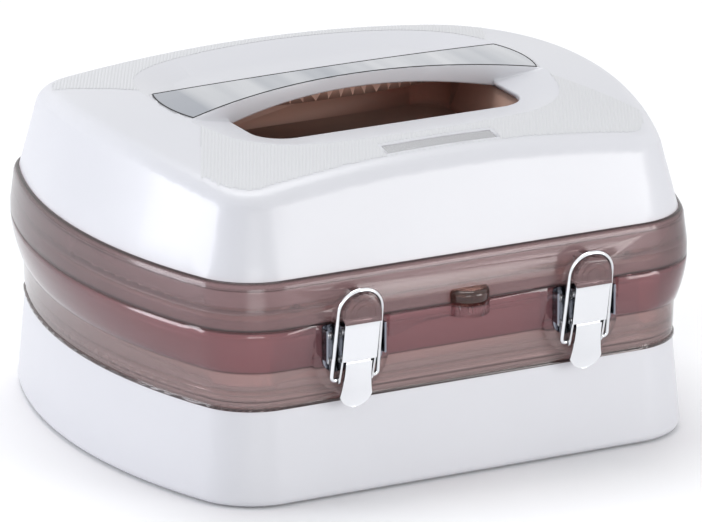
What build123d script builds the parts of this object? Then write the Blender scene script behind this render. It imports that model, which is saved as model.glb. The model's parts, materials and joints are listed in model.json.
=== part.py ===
"""Vanity case: white tub and cover, two smoked bands, handle with plate, two draw latches.

Millimetres, +Z up. The origin is the middle of the underside, on the floor.
X runs to the right of someone facing the latches, and the latches look along -Y.
"""

from build123d import *
import math
import os

# ---- plan of the case, at the line where lid and base part ----
CASE_WIDTH = 340.0
CASE_DEPTH = 284.8
SIDE_BOW = 34.2
CORNER_RADIUS = 42.3

# ---- heights above the floor ----
FOOT_STAND = 1.2
BASE_RIM_Z = 53.5
BAND_STEP_Z = 75.0
PARTING_Z = 99.7
TONGUE_RISE = 5.2
BAND_TOP_Z = 125.9
CROWN_TOP_Z = 190.7

# ---- how far each wall stands in from that plan ----
BASE_BOTTOM_INSET = 2.5
BASE_RIM_INSET = 7.5
STEP_INSET = 6.6
BULGE_INSET = 5.6
BULGE_POWER = 1.8
STEP_CHAMFER = 0.4
BEAD_HEIGHT = 1.7
BEAD_PROUD = 0.9
BAND_SHOULDER_INSET = 1.8
BAND_UPRIGHT = 6.5
RIM_LIP = 0.8
COVER_FOOT_INSET = 5.2
COVER_LEAN = 15.0
COVER_FOOT_DROP = 13.9

# ---- walls, rounds and clearances ----
BASE_WALL = 2.8
BASE_FLOOR = 3.0
BAND_WALL = 2.6
COVER_WALL = 2.5
CROWN_SKIN = 3.0
TRAY_WALL = 2.2
BOTTOM_ROUND = 4.0
RIM_HEIGHT = 5.4
COVER_EDGE_RADIUS = 14.0
SEAT_GAP = 0.2
MOVING_GAP = 0.4
RUNNING_GAP = 0.06
PARTING_GAP = 0.3
ROUND_STEPS = 4
BULGE_STEPS = 6
SPIGOT_DEPTH = 7.0
TONGUE_WALL = 2.0
RIM_THICKENING = 5.0
SHELF_THICKNESS = 3.0
SHELF_INSET = 10.0

# ---- crown of the cover ----
CROWN_RADIUS_ACROSS = 931.0
CROWN_RADIUS_ALONG = 531.0

# ---- handle bar, its plate and the hollows beside it ----
BAR_END_X = 106.0
BAR_END_HALF = 26.0
BAR_MID_HALF = 10.5
BAR_THICKNESS = 7.6
BAR_END_BULGE = 4.0
PLATE_MARGIN = 1.5
PLATE_THICKNESS = 1.2
PLATE_PROUD = 0.2
GASKET_MARGIN = 1.0
GASKET_THICKNESS = 0.5
GRIP_SKIRT = 2.2
GRIP_END_X = 79.0
HANDLE_SCREW_X = 60.0
HANDLE_SCREW_DROP = 10.0
HANDLE_SCREW_LENGTH = 4.5
HANDLE_POST_DROP = 8.6
DISH_FLOOR_DROP = 13.0
DISH_TOP_DROP = 6.0
DISH_TOP_X = 112.0
DISH_TOP_Y = 114.0
DISH_TOP_RADIUS = 56.0
OPENING_X = 80.5
OPENING_Y = 63.0
OPENING_RADIUS = 18.5
DISH_WALL = 2.6
SLOPE_ROUND = 2.0
OPENING_ROUND = 1.2
GRIP_ROUND = 1.2

# ---- hand well under the opening ----
WELL_DEPTH = 27.0
WELL_WALL = 2.0
WELL_BACK_Y = 46.0
WELL_FLANGE = 7.0
WELL_DRAFT = 3.0
WELL_SCREW_X = 45.0
WELL_SCREW_Y = -42.0
WELL_SCREW_OUT = 6.0
WELL_SCREW_BITE = 1.9
WELL_SCREW_LENGTH = 3.8
LIP_HALF_X = 78.0

# ---- bare plate on the front of the crown ----
LABEL_LENGTH = 66.0
LABEL_WIDTH = 9.0
LABEL_IN = 11.84
LABEL_DEPTH = 1.2
LABEL_THICKNESS = 0.8

# ---- lift-out tray ----
TRAY_INSET = 14.0
TRAY_DRAFT = 0.6
TRAY_RAISE = 11.1
TRAY_HEAD_ROOM = 6.9
TRAY_LEDGE = 4.0
TRAY_LEDGE_THICKNESS = 2.4
TRAY_WALL_Y = 46.0
DIVIDER_THICKNESS = 2.0
DIVIDER_SLOT = 1.4
DIVIDER_PLAY = 0.15
DIVIDER_DROP = 7.0
DIVIDER_COUNT = 3
DIVIDER_FIRST_X = -100.0
DIVIDER_PITCH = 50.0
PARTITION_DROP = 4.0
REAR_CELLS = 4
REAR_CELL_PITCH = 68.0
CUP_RADIUS = 27.0
CUP_X = 84.0
CUP_Y = -60.0

# ---- latches ----
LATCH_X = 69.35
PAD_HALF_WIDTH = 22.0
PAD_DROP = 41.7
PAD_SUNK = 2.1
BRACKET_HALF_WIDTH = 17.8
BRACKET_THICKNESS = 1.2
BRACKET_RIM = 4.5
BRACKET_SHEET = 1.1
BRACKET_TOP_CORNER = 2.0
RIM_DROP = 2.0
BRACKET_DROP = 27.7
BRACKET_CORNER = 8.0
EAR_HALF_WIDTH = 8.8
EAR_THICKNESS = 1.2
EAR_RADIUS = 2.2
EAR_SLOPE = 35.0
EAR_TOP_DROP = 7.2
EAR_BOTTOM_DROP = 17.5
PIVOT_PROUD = 6.5
PIVOT_DROP = 3.2
PIVOT_PIN_RADIUS = 1.1
PIN_HEAD = 0.5
PIN_HEAD_GAP = 0.1
PIN_HEAD_RADIUS = 2.0
LEVER_LEAN = 10.6
LEVER_HALF_WIDTH = 10.3
LEVER_SHEET = 1.0
LEVER_FLANGE = 1.2
LEVER_FACE = 3.68
LEVER_ABOVE = 5.88
LEVER_BELOW = 16.9
FLANGE_TOP = 4.0
FLANGE_BACK = 2.3
FLANGE_EYE = 2.3
BAIL_PIN_BELOW = 29.0
BAIL_PIN_BACK = 0.3
TONGUE_GAP = 1.2
TONGUE_LAP = 8.0
TONGUE_WAIST = 0.6
TONGUE_TIP = 44.6
TONGUE_NECK_HALF = 7.8
TONGUE_WIDE_HALF = 9.5
TONGUE_WIDE_AT = 37.7
WIRE_RADIUS = 1.2
BAIL_RISE = 19.1
BAIL_PROUD = 9.6
BAIL_ARCH_HALF = 12.4
BAIL_FOOT_HALF = 13.8
BAIL_BEND = 2.4
BAIL_FLAT = 0.4
BAIL_END_PROUD = 0.5
CATCH_HALF_WIDTH = 10.7
CATCH_PROUD = 12.1
CATCH_GAP = 0.4
SHOULDER_HALF_WIDTH = 13.5
SHOULDER_RISE = 17.1
LEVER_SWEEP_GAP = 0.36
TAB_RADIUS = 12.0
TAB_REACH = 9.6
TAB_HEIGHT = 7.6
TAB_PEG_RADIUS = 2.0
TAB_PEG_RAISE = 4.0
LIP_HEIGHT = 6.2
LATCH_ROOM = 60.0

# ---- hinges ----
HINGE_X = 86.0
KNUCKLE_RADIUS = 4.2
KNUCKLE_LENGTH = 13.0
HINGE_PIN_RADIUS = 1.6
HINGE_PIN_HEAD = 2.6
HINGE_PIN_CAP = 1.0

# ---- feet and fasteners ----
FOOT_RADIUS = 9.0
FOOT_SUNK = 1.0
FOOT_X = 108.0
FOOT_Y = 92.0
SCREW_RADIUS = 1.5
SCREW_HEAD_RADIUS = 3.0
SCREW_HEAD = 1.8
SCREW_LENGTH = 9.0
POST_RADIUS = 4.0
POST_OUT = 15.0
LUG_RADIUS = 9.6
COVER_SCREW_X = 100.0
COVER_SCREW_INSET = 8.6
COVER_LUG_RADIUS = 3.6
COVER_POST_RADIUS = 2.9
COVER_POST_HEIGHT = 10.0
RIVET_RADIUS = 1.2
RIVET_LENGTH = 2.4
RIVET_SPREAD = 7.0
RIVET_HEAD_RADIUS = 2.0
RIVET_HEAD = 0.9

# ---- worked out from the sizes above ----
HALF_WIDTH = CASE_WIDTH / 2
HALF_DEPTH = CASE_DEPTH / 2
TONGUE_TOP_Z = PARTING_Z + TONGUE_RISE
COVER_FOOT_Z = BAND_TOP_Z - COVER_FOOT_DROP
HANDLE_SCREW_Z = CROWN_TOP_Z - HANDLE_SCREW_DROP
HANDLE_POST_Z = CROWN_TOP_Z - HANDLE_POST_DROP
DISH_FLOOR_Z = CROWN_TOP_Z - DISH_FLOOR_DROP
DISH_TOP_Z = CROWN_TOP_Z - DISH_TOP_DROP
TRAY_FLOOR_Z = BASE_RIM_Z + TRAY_RAISE
TRAY_TOP_Z = BAND_TOP_Z - TRAY_HEAD_ROOM
DIVIDER_TOP_Z = TRAY_TOP_Z - DIVIDER_DROP
PAD_BOTTOM_Z = PARTING_Z - PAD_DROP
PAD_FACE_Y = PAD_SUNK - HALF_DEPTH
BRACKET_BOTTOM_Z = PARTING_Z - BRACKET_DROP
PIVOT_Y = -HALF_DEPTH - PIVOT_PROUD
PIVOT_Z = PARTING_Z - PIVOT_DROP
BAIL_TOP_Z = PARTING_Z + BAIL_RISE
BAIL_TOP_Y = -HALF_DEPTH - BAIL_PROUD
CATCH_FACE_Y = -HALF_DEPTH - CATCH_PROUD
SHOULDER_TOP_Z = PARTING_Z + SHOULDER_RISE
SIDE_RADIUS = (HALF_DEPTH**2 + SIDE_BOW**2) / (2 * SIDE_BOW)
SIDE_CENTRE_X = HALF_WIDTH - SIDE_RADIUS
CORNER_Y = HALF_DEPTH - CORNER_RADIUS
CORNER_X = SIDE_CENTRE_X + math.sqrt((SIDE_RADIUS - CORNER_RADIUS) ** 2 - CORNER_Y**2)
CORNER_ANGLE = math.degrees(math.atan2(CORNER_Y, CORNER_X - SIDE_CENTRE_X))
HINGE_Y = -CATCH_FACE_Y - KNUCKLE_RADIUS
BRACKET_FACE_Y = PAD_FACE_Y - BRACKET_THICKNESS
BRACKET_TOP_Z = PARTING_Z - 0.8
LEVER_SWEEP = math.hypot(LEVER_FACE, LEVER_ABOVE) + LEVER_SWEEP_GAP
LEAN_SIN = math.sin(math.radians(LEVER_LEAN))
LEAN_COS = math.cos(math.radians(LEVER_LEAN))
BAIL_PIN_Y = PIVOT_Y + BAIL_PIN_BELOW * LEAN_SIN + BAIL_PIN_BACK * LEAN_COS
BAIL_PIN_Z = PIVOT_Z - BAIL_PIN_BELOW * LEAN_COS + BAIL_PIN_BACK * LEAN_SIN
BAIL_HEIGHT = math.hypot(BAIL_TOP_Z - BAIL_PIN_Z, BAIL_TOP_Y - BAIL_PIN_Y)
CATCH_ARCH_Z = BAIL_TOP_Z - WIRE_RADIUS - CATCH_GAP - CATCH_HALF_WIDTH
CEILING_Z = CROWN_TOP_Z + 20.0
CELLAR_Z = DISH_FLOOR_Z - 30.0
TAB_PEG_Z = PARTING_Z + TAB_PEG_RAISE
TAB_CENTRE_Y = -HALF_DEPTH + TAB_RADIUS - TAB_REACH
BAND_LOW_Z = PARTING_Z + PARTING_GAP / 2
RIM_Z = PARTING_Z - PARTING_GAP / 2
BRACKET_MIDDLE_Z = (BRACKET_BOTTOM_Z + BRACKET_TOP_Z) / 2
LATCHES = {"left": -LATCH_X, "right": LATCH_X}
HINGES = {"left": -HINGE_X, "right": HINGE_X}


# ---------------------------------------------------------------- helpers


def outline(inset, z):
    """Closed plan of the case at height z, moved inwards by inset."""
    side = SIDE_RADIUS - inset
    corner = CORNER_RADIUS - inset
    turn = 90 - CORNER_ANGLE
    edge_y = HALF_DEPTH - inset
    edges = [
        CenterArc((SIDE_CENTRE_X, 0, z), side, -CORNER_ANGLE, 2 * CORNER_ANGLE),
        CenterArc((CORNER_X, CORNER_Y, z), corner, CORNER_ANGLE, turn),
        Line((CORNER_X, edge_y, z), (-CORNER_X, edge_y, z)),
        CenterArc((-CORNER_X, CORNER_Y, z), corner, 90, turn),
        CenterArc((-SIDE_CENTRE_X, 0, z), side, 180 - CORNER_ANGLE, 2 * CORNER_ANGLE),
        CenterArc((-CORNER_X, -CORNER_Y, z), corner, 180 + CORNER_ANGLE, turn),
        Line((-CORNER_X, -edge_y, z), (CORNER_X, -edge_y, z)),
        CenterArc((CORNER_X, -CORNER_Y, z), corner, 270, turn),
    ]
    return Wire(edges)


def stack(levels):
    """Solid through the plan at each (height, inset) level."""
    return Solid.make_loft([outline(inset, z) for z, inset in levels], ruled=True)


def collar(z0, z1, outside, inside):
    """Level ring between two insets."""
    return stack([(z0, outside), (z1, outside)]) - stack([(z0 - 1, inside), (z1 + 1, inside)])


def box_between(low, high):
    """Box from its lowest corner to its highest corner."""
    size = [h - l for l, h in zip(low, high)]
    middle = [(h + l) / 2 for l, h in zip(low, high)]
    return Pos(*middle) * Box(*size)


def rod_x(x0, x1, y, z, radius):
    """Round bar along X."""
    return Pos((x0 + x1) / 2, y, z) * Rot(0, 90, 0) * Cylinder(radius, abs(x1 - x0))


def rod_y(x, z, y0, y1, radius):
    """Round bar along Y."""
    return Pos(x, (y0 + y1) / 2, z) * Rot(90, 0, 0) * Cylinder(radius, abs(y1 - y0))


def rod_z(x, y, z0, z1, radius):
    """Round bar along Z."""
    return Pos(x, y, (z0 + z1) / 2) * Cylinder(radius, abs(z1 - z0))


def prism_z(wire, height):
    """Upright solid on a closed flat wire."""
    return extrude(make_face(wire), height, dir=(0, 0, 1))


def round_ended(x, round_z, flat_z, half_width, y0, y1):
    """Block square to Y with a half-round end reaching round_z and a flat end at flat_z."""
    centre_z = round_z + math.copysign(half_width, flat_z - round_z)
    low_z, high_z = sorted((round_z, flat_z))
    low = (x - half_width, y0, low_z)
    high = (x + half_width, y1, high_z)
    straight = sorted((centre_z, flat_z))
    block = box_between((x - half_width, y0, straight[0]), (x + half_width, y1, straight[1]))
    return block + (rod_y(x, centre_z, y0, y1, half_width) & box_between(low, high))


def side_plate(points, x0, x1):
    """Flat plate square to X, from its corners as (y, z)."""
    corners = [(x0, y, z) for y, z in points]
    face = make_face(Polyline(*corners, close=True))
    return extrude(face, x1 - x0, dir=(1, 0, 0))


def base_inset(z):
    """Inset of the outside of the tub at height z."""
    share = (z - FOOT_STAND) / (BASE_RIM_Z - FOOT_STAND)
    return BASE_BOTTOM_INSET + share * (BASE_RIM_INSET - BASE_BOTTOM_INSET)


def band_inset(z):
    """Inset of the outside of the lower band at height z, above its step."""
    return BULGE_INSET * ((PARTING_Z - z) / (PARTING_Z - BAND_STEP_Z)) ** BULGE_POWER


def cover_inset(z):
    """Inset of the outside of the cover at height z."""
    return COVER_FOOT_INSET + (z - BAND_TOP_Z) * math.tan(math.radians(COVER_LEAN))


def crown(top):
    """Everything under the crowned surface whose highest point is top."""
    reach = HALF_WIDTH + 20
    drop = CROWN_RADIUS_ACROSS - math.sqrt(CROWN_RADIUS_ACROSS**2 - reach**2)
    axis_z = top - CROWN_RADIUS_ALONG
    arc = ThreePointArc((-reach, 0, top - drop), (0, 0, top), (reach, 0, top - drop))
    foot = Polyline((reach, 0, top - drop), (reach, 0, axis_z), (-reach, 0, axis_z), (-reach, 0, top - drop))
    face = make_face(Wire([arc] + foot.edges()))
    return revolve(face, Axis((0, 0, axis_z), (1, 0, 0)), 360)


def screws(places, seat_z, length):
    """Slotted screws along Z, each head seated at seat_z; length is negative for screws that point up."""
    way = math.copysign(1, length)
    top_z = seat_z + way * SCREW_HEAD
    solids = []
    for x, y in places:
        shank = rod_z(x, y, seat_z - length, seat_z + way * SCREW_HEAD / 2, SCREW_RADIUS)
        head = rod_z(x, y, seat_z, top_z, SCREW_HEAD_RADIUS)
        slot = Pos(x, y, top_z) * Box(2 * SCREW_HEAD_RADIUS, SCREW_HEAD / 2, SCREW_HEAD)
        solids.append(shank + head - slot)
    return solids


def screw_holes(places, z0, z1):
    """Clearance holes for the shanks of screws along Z."""
    return [rod_z(x, y, z0, z1, SCREW_RADIUS + RUNNING_GAP) for x, y in places]


# ---------------------------------------------------------------- base


def post_places():
    """Where the tub and the lower band are screwed together, one in each corner."""
    x = CORNER_X + POST_OUT
    y = CORNER_Y + POST_OUT
    return [(sx * x, sy * y) for sx in (-1, 1) for sy in (-1, 1)]


def foot_places():
    """Middles of the four feet."""
    return [(sx * FOOT_X, sy * FOOT_Y) for sx in (-1, 1) for sy in (-1, 1)]


def base_shell():
    """White tub that carries everything."""
    levels = []
    for i in range(ROUND_STEPS, -1, -1):
        angle = math.radians(90 * i / ROUND_STEPS)
        z = FOOT_STAND + BOTTOM_ROUND * (1 - math.sin(angle))
        levels.append((z, base_inset(z) + BOTTOM_ROUND * (1 - math.cos(angle))))
    levels.append((BASE_RIM_Z, BASE_RIM_INSET))
    floor_z = FOOT_STAND + BASE_FLOOR
    hollow = [(floor_z, base_inset(floor_z) + BASE_WALL), (BASE_RIM_Z + 1, BASE_RIM_INSET + BASE_WALL)]
    tub = stack(levels) - stack(hollow)
    for x, y in post_places():
        tub += rod_z(x, y, floor_z - 1, BASE_RIM_Z, POST_RADIUS)
    tub -= screw_holes(post_places(), BASE_RIM_Z - SCREW_LENGTH, BASE_RIM_Z + 1)
    for x, y in foot_places():
        tub -= rod_z(x, y, 0, FOOT_STAND + FOOT_SUNK, FOOT_RADIUS + SEAT_GAP)
    return tub


def rubber_feet():
    """Four round pads let into the underside."""
    return [rod_z(x, y, 0, FOOT_STAND + FOOT_SUNK, FOOT_RADIUS) for x, y in foot_places()]


def lower_band_levels(extra):
    """Outside of the lower band, moved inwards by extra."""
    levels = [(BASE_RIM_Z, BASE_RIM_INSET + extra), (BAND_STEP_Z, STEP_INSET + extra)]
    first_z = BAND_STEP_Z + STEP_CHAMFER
    for i in range(BULGE_STEPS + 1):
        z = first_z + (RIM_Z - first_z) * i / BULGE_STEPS
        levels.append((z, band_inset(z) + extra))
    return levels


def spigot_and_flange():
    """Lip inside the rim of the tub and the flange it hangs from."""
    outside = BASE_RIM_INSET + BASE_WALL + SEAT_GAP
    inside = outside + BAND_WALL
    lip = collar(BASE_RIM_Z - SPIGOT_DEPTH, BASE_RIM_Z + BAND_WALL, outside, inside)
    return lip + collar(BASE_RIM_Z, BASE_RIM_Z + BAND_WALL, BASE_RIM_INSET + 1, inside)


def latch_pad(x):
    """Flat seat of a latch, round at the bottom, reaching back into the wall."""
    back_y = -(HALF_DEPTH - BASE_RIM_INSET - BAND_WALL / 2)
    return round_ended(x, PAD_BOTTOM_Z, RIM_Z, PAD_HALF_WIDTH, PAD_FACE_Y, back_y)


def latch_recess(x):
    """Room in front of a latch seat."""
    low = (x - PAD_HALF_WIDTH, -HALF_DEPTH - 1, PAD_BOTTOM_Z)
    return box_between(low, (x + PAD_HALF_WIDTH, PAD_FACE_Y, PARTING_Z + 1))


def rivet_places(x):
    """Where a latch bracket is riveted to its seat, as (x, z)."""
    reach = (BRACKET_HALF_WIDTH - BRACKET_SHEET + LEVER_HALF_WIDTH) / 2
    return [(x + sx * reach, BRACKET_MIDDLE_Z + sz * RIVET_SPREAD) for sx in (-1, 1) for sz in (-1, 1)]


def knuckle(x, up):
    """One hinge knuckle at x with its arm; the arm lies above the parting line when up."""
    barrel = rod_x(x - KNUCKLE_LENGTH / 2, x + KNUCKLE_LENGTH / 2, HINGE_Y, PARTING_Z, KNUCKLE_RADIUS)
    near = PARTING_Z + up * PARTING_GAP / 2
    far = PARTING_Z + up * KNUCKLE_RADIUS
    low = (x - KNUCKLE_LENGTH / 2, HALF_DEPTH - BAND_WALL / 2, min(near, far))
    return barrel + box_between(low, (x + KNUCKLE_LENGTH / 2, HINGE_Y, max(near, far)))


def knuckles(offsets, up):
    """Knuckles of both hinges at the given places along each."""
    step = KNUCKLE_LENGTH + MOVING_GAP
    return [knuckle(x + k * step, up) for x in HINGES.values() for k in offsets]


def hinge_holes(extra):
    """Pin holes through both hinges."""
    half = 1.5 * KNUCKLE_LENGTH + 2 * MOVING_GAP + 1
    radius = HINGE_PIN_RADIUS + extra
    return [rod_x(x - half, x + half, HINGE_Y, PARTING_Z, radius) for x in HINGES.values()]


def lower_band():
    """Smoked band on the tub, with tray ledge, tongue, latch seats and hinge knuckles."""
    hollow = [(BASE_RIM_Z - 1, BASE_RIM_INSET + BAND_WALL)] + lower_band_levels(BAND_WALL)
    hollow.append((PARTING_Z + 1, BAND_WALL))
    band = stack(lower_band_levels(0)) - stack(hollow)
    band += spigot_and_flange()
    band += collar(BASE_RIM_Z, BASE_RIM_Z + BEAD_HEIGHT, BASE_RIM_INSET - BEAD_PROUD, BASE_RIM_INSET + 1)
    ledge_z = TRAY_FLOOR_Z - TRAY_LEDGE_THICKNESS
    band += collar(ledge_z, TRAY_FLOOR_Z, BASE_RIM_INSET + 1, TRAY_INSET + TRAY_LEDGE)
    tongue_outside = BAND_WALL + MOVING_GAP
    tongue_inside = tongue_outside + TONGUE_WALL
    band += collar(RIM_Z - RIM_THICKENING, RIM_Z, BAND_WALL / 2, tongue_inside)
    band += collar(RIM_Z - 1, TONGUE_TOP_Z, tongue_outside, tongue_inside)
    for x in LATCHES.values():
        band += latch_pad(x)
        band -= latch_recess(x)
        for rx, rz in rivet_places(x):
            back_y = PAD_FACE_Y + RIVET_LENGTH + SEAT_GAP
            band -= rod_y(rx, rz, PAD_FACE_Y, back_y, RIVET_RADIUS + RUNNING_GAP)
    for x, y in post_places():
        band += rod_z(x, y, BASE_RIM_Z, BASE_RIM_Z + BAND_WALL, LUG_RADIUS)
    band -= screw_holes(post_places(), BASE_RIM_Z - 1, BASE_RIM_Z + BAND_WALL + 1)
    lip = rod_z(0, TAB_CENTRE_Y, RIM_Z - LIP_HEIGHT, RIM_Z, TAB_RADIUS)
    band += lip - box_between((-HALF_WIDTH, -HALF_DEPTH + BAND_WALL, 0), (HALF_WIDTH, 0, CROWN_TOP_Z))
    band += knuckles((-1, 1), -1)
    band -= hinge_holes(RUNNING_GAP)
    return band


def band_screws():
    """Screws that hold the lower band on the tub."""
    return screws(post_places(), BASE_RIM_Z + BAND_WALL, SCREW_LENGTH)


# ---------------------------------------------------------------- tray


def tray_inside(z):
    """Inset of the inside of the tray wall at height z."""
    share = (z - TRAY_FLOOR_Z) / (TRAY_TOP_Z - TRAY_FLOOR_Z)
    return TRAY_INSET + TRAY_DRAFT * (1 - share) + TRAY_WALL


def divider_places():
    """Middles of the removable dividers along X."""
    return [DIVIDER_FIRST_X + i * DIVIDER_PITCH for i in range(DIVIDER_COUNT)]


def divider(x, play, top_z):
    """Slab across the front compartment up to top_z, thinner and shorter by play."""
    half = DIVIDER_THICKNESS / 2 - play
    floor_z = TRAY_FLOOR_Z + TRAY_WALL
    front = -(HALF_DEPTH - tray_inside(floor_z)) - DIVIDER_SLOT + play
    back = TRAY_WALL_Y - TRAY_WALL / 2 + DIVIDER_SLOT - play
    return box_between((x - half, front, floor_z + play), (x + half, back, top_z))


def tray_partitions():
    """Moulded walls of the tray: one along X, the rest across behind it."""
    floor_z = TRAY_FLOOR_Z + TRAY_WALL / 2
    top_z = TRAY_TOP_Z - PARTITION_DROP
    half = TRAY_WALL / 2
    low = (-HALF_WIDTH, TRAY_WALL_Y - half, floor_z)
    walls = [box_between(low, (HALF_WIDTH, TRAY_WALL_Y + half, top_z))]
    for i in range(REAR_CELLS - 1):
        x = (i + 1 - REAR_CELLS / 2) * REAR_CELL_PITCH
        walls.append(box_between((x - half, TRAY_WALL_Y, floor_z), (x + half, HALF_DEPTH, top_z)))
    return walls


def cup(radius, z0, z1):
    """Round column of the cup for a brush pot or jar."""
    return rod_z(CUP_X, CUP_Y, z0, z1, radius)


def lift_out_tray():
    """Smoked tray that hangs on the ledge of the lower band and lifts out by hand."""
    outer = stack([(TRAY_FLOOR_Z, TRAY_INSET + TRAY_DRAFT), (TRAY_TOP_Z, TRAY_INSET)])
    floor_z = TRAY_FLOOR_Z + TRAY_WALL
    hollow = stack([(floor_z, tray_inside(floor_z)), (TRAY_TOP_Z + 1, tray_inside(TRAY_TOP_Z + 1))])
    tray = outer - hollow
    tray += [wall & outer for wall in tray_partitions()]
    tray += cup(CUP_RADIUS, TRAY_FLOOR_Z, TRAY_TOP_Z - PARTITION_DROP)
    tray -= cup(CUP_RADIUS - TRAY_WALL, floor_z, TRAY_TOP_Z)
    tray -= [divider(x, 0, TRAY_TOP_Z + 1) for x in divider_places()]
    return tray


# ---------------------------------------------------------------- lid


def upper_band_levels():
    """Outside of the upper band, rounded over at the top."""
    shoulder_z = BAND_TOP_Z - RIM_HEIGHT
    levels = [(BAND_LOW_Z, 0), (BAND_LOW_Z + BAND_UPRIGHT, 0), (shoulder_z, BAND_SHOULDER_INSET)]
    rim_run = COVER_FOOT_INSET - RIM_LIP - BAND_SHOULDER_INSET
    for i in range(1, ROUND_STEPS + 1):
        angle = math.radians(90 * i / ROUND_STEPS)
        z = shoulder_z + RIM_HEIGHT * math.sin(angle)
        levels.append((z, BAND_SHOULDER_INSET + rim_run * (1 - math.cos(angle))))
    return levels


def upper_band_hollow():
    """Inside of the upper band, which grips the foot of the cover."""
    grip = COVER_FOOT_INSET - SEAT_GAP
    low = [(PARTING_Z - 1, BAND_WALL), (PARTING_Z + BAND_UPRIGHT, BAND_WALL)]
    return low + [(COVER_FOOT_Z, grip), (BAND_TOP_Z + 1, grip)]


def cover_screw_places():
    """Where the cover is screwed to the upper band, all round."""
    y = HALF_DEPTH - COVER_SCREW_INSET
    x = HALF_WIDTH - COVER_SCREW_INSET
    return [(sx * COVER_SCREW_X, sy * y) for sx in (-1, 1) for sy in (-1, 1)] + [(-x, 0), (x, 0)]


def catch(x):
    """Boss that a bail hooks over: a wide shoulder with a narrower nose."""
    root_y = -HALF_DEPTH + BAND_WALL / 2
    nose_top_z = CATCH_ARCH_Z + CATCH_HALF_WIDTH
    nose = round_ended(x, nose_top_z, BAND_LOW_Z, CATCH_HALF_WIDTH, CATCH_FACE_Y, root_y)
    shoulder = round_ended(x, SHOULDER_TOP_Z, BAND_LOW_Z, SHOULDER_HALF_WIDTH, CATCH_FACE_Y, root_y)
    room = WIRE_RADIUS + MOVING_GAP
    front = bail_plane(x) * Pos(0, 0, LATCH_ROOM / 2 - room) * Box(LATCH_ROOM, 2 * LATCH_ROOM, LATCH_ROOM)
    sweep_room = rod_x(x - LATCH_ROOM, x + LATCH_ROOM, PIVOT_Y, PIVOT_Z, LEVER_SWEEP)
    return nose + (shoulder - front) - sweep_room


def upper_band():
    """Smoked band of the lid, with the two catches and the middle hinge knuckles."""
    band = stack(upper_band_levels()) - stack(upper_band_hollow())
    shelf_z = COVER_FOOT_Z - SHELF_THICKNESS
    band += collar(shelf_z, COVER_FOOT_Z, BAND_WALL, SHELF_INSET)
    for x, y in cover_screw_places():
        band += rod_z(x, y, shelf_z, COVER_FOOT_Z, COVER_LUG_RADIUS)
    band -= screw_holes(cover_screw_places(), shelf_z - 1, COVER_FOOT_Z + 1)
    for x in LATCHES.values():
        band += catch(x)
    band += knuckles((0,), 1)
    band -= hinge_holes(RUNNING_GAP)
    band -= rod_y(0, TAB_PEG_Z, -HALF_DEPTH - 1, -HALF_DEPTH + BAND_WALL + 1, TAB_PEG_RADIUS + SEAT_GAP)
    return band


def thumb_tab():
    """Half-round tab for lifting the lid, pegged to the front of the upper band."""
    low_z = PARTING_Z + PARTING_GAP
    tab = rod_z(0, TAB_CENTRE_Y, low_z, low_z + TAB_HEIGHT, TAB_RADIUS)
    tab -= box_between((-HALF_WIDTH, -HALF_DEPTH - SEAT_GAP, 0), (HALF_WIDTH, 0, CROWN_TOP_Z))
    return tab + rod_y(0, TAB_PEG_Z, -HALF_DEPTH - 1, -HALF_DEPTH + BAND_WALL, TAB_PEG_RADIUS)


def bar_outline(inset, z):
    """Plan of the handle bar, narrow in the middle and wide at its ends."""
    x = BAR_END_X - inset
    end = BAR_END_HALF - inset
    middle = BAR_MID_HALF - inset
    bulge = x + BAR_END_BULGE
    edges = [
        ThreePointArc((-x, -end, z), (0, -middle, z), (x, -end, z)),
        ThreePointArc((x, -end, z), (bulge, 0, z), (x, end, z)),
        ThreePointArc((x, end, z), (0, middle, z), (-x, end, z)),
        ThreePointArc((-x, end, z), (-bulge, 0, z), (-x, -end, z)),
    ]
    return Wire(edges)


def bar_prism(inset):
    """Upright body on the plan of the bar."""
    return prism_z(bar_outline(inset, CELLAR_Z), CEILING_Z - CELLAR_Z)


def rounded_frame(half_x, half_y, radius, z):
    """Rectangle with round corners about the middle of the case."""
    return (Pos(0, 0, z) * RectangleRounded(2 * half_x, 2 * half_y, radius)).face().outer_wire()


def dish(lower, skirt):
    """Room of the hollow in the crown, lowered by lower, leaving the bar plus skirt."""
    low = rounded_frame(OPENING_X, OPENING_Y, OPENING_RADIUS, DISH_FLOOR_Z - lower)
    high = rounded_frame(DISH_TOP_X, DISH_TOP_Y, DISH_TOP_RADIUS, DISH_TOP_Z - lower)
    room = Solid.make_loft([low, high], ruled=True) + prism_z(high, CEILING_Z - DISH_TOP_Z)
    return room - bar_prism(skirt)


def cover_body(wall, skin):
    """Solid under the crown and inside the cover's walls, moved in by wall and skin."""
    foot_z = COVER_FOOT_Z - (1 if wall else 0)
    levels = [
        (foot_z, COVER_FOOT_INSET + wall),
        (BAND_TOP_Z, COVER_FOOT_INSET + wall),
        (CEILING_Z, cover_inset(CEILING_Z) + wall),
    ]
    body = stack(levels) & crown(CROWN_TOP_Z - skin)
    top = body.faces().sort_by(Axis.Z)[-1]
    return fillet(top.edges(), COVER_EDGE_RADIUS - wall)


def under_bar(drop):
    """Everything under the arched underside of the bar, lowered by drop."""
    top = CROWN_TOP_Z - BAR_THICKNESS - drop
    side = DISH_FLOOR_Z - DISH_WALL - drop
    half = OPENING_X
    arch = ThreePointArc((-half, 0, side), (0, 0, top), (half, 0, side))
    foot = Polyline((half, 0, side), (half, 0, CELLAR_Z), (-half, 0, CELLAR_Z), (-half, 0, side))
    return extrude(make_face(Wire([arch] + foot.edges())), BAR_END_HALF, dir=(0, 1, 0), both=True)


def front_half():
    """Everything in front of the middle of the case."""
    return box_between((-CASE_WIDTH, -CASE_DEPTH, 0), (CASE_WIDTH, 0, 2 * CROWN_TOP_Z))


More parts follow.
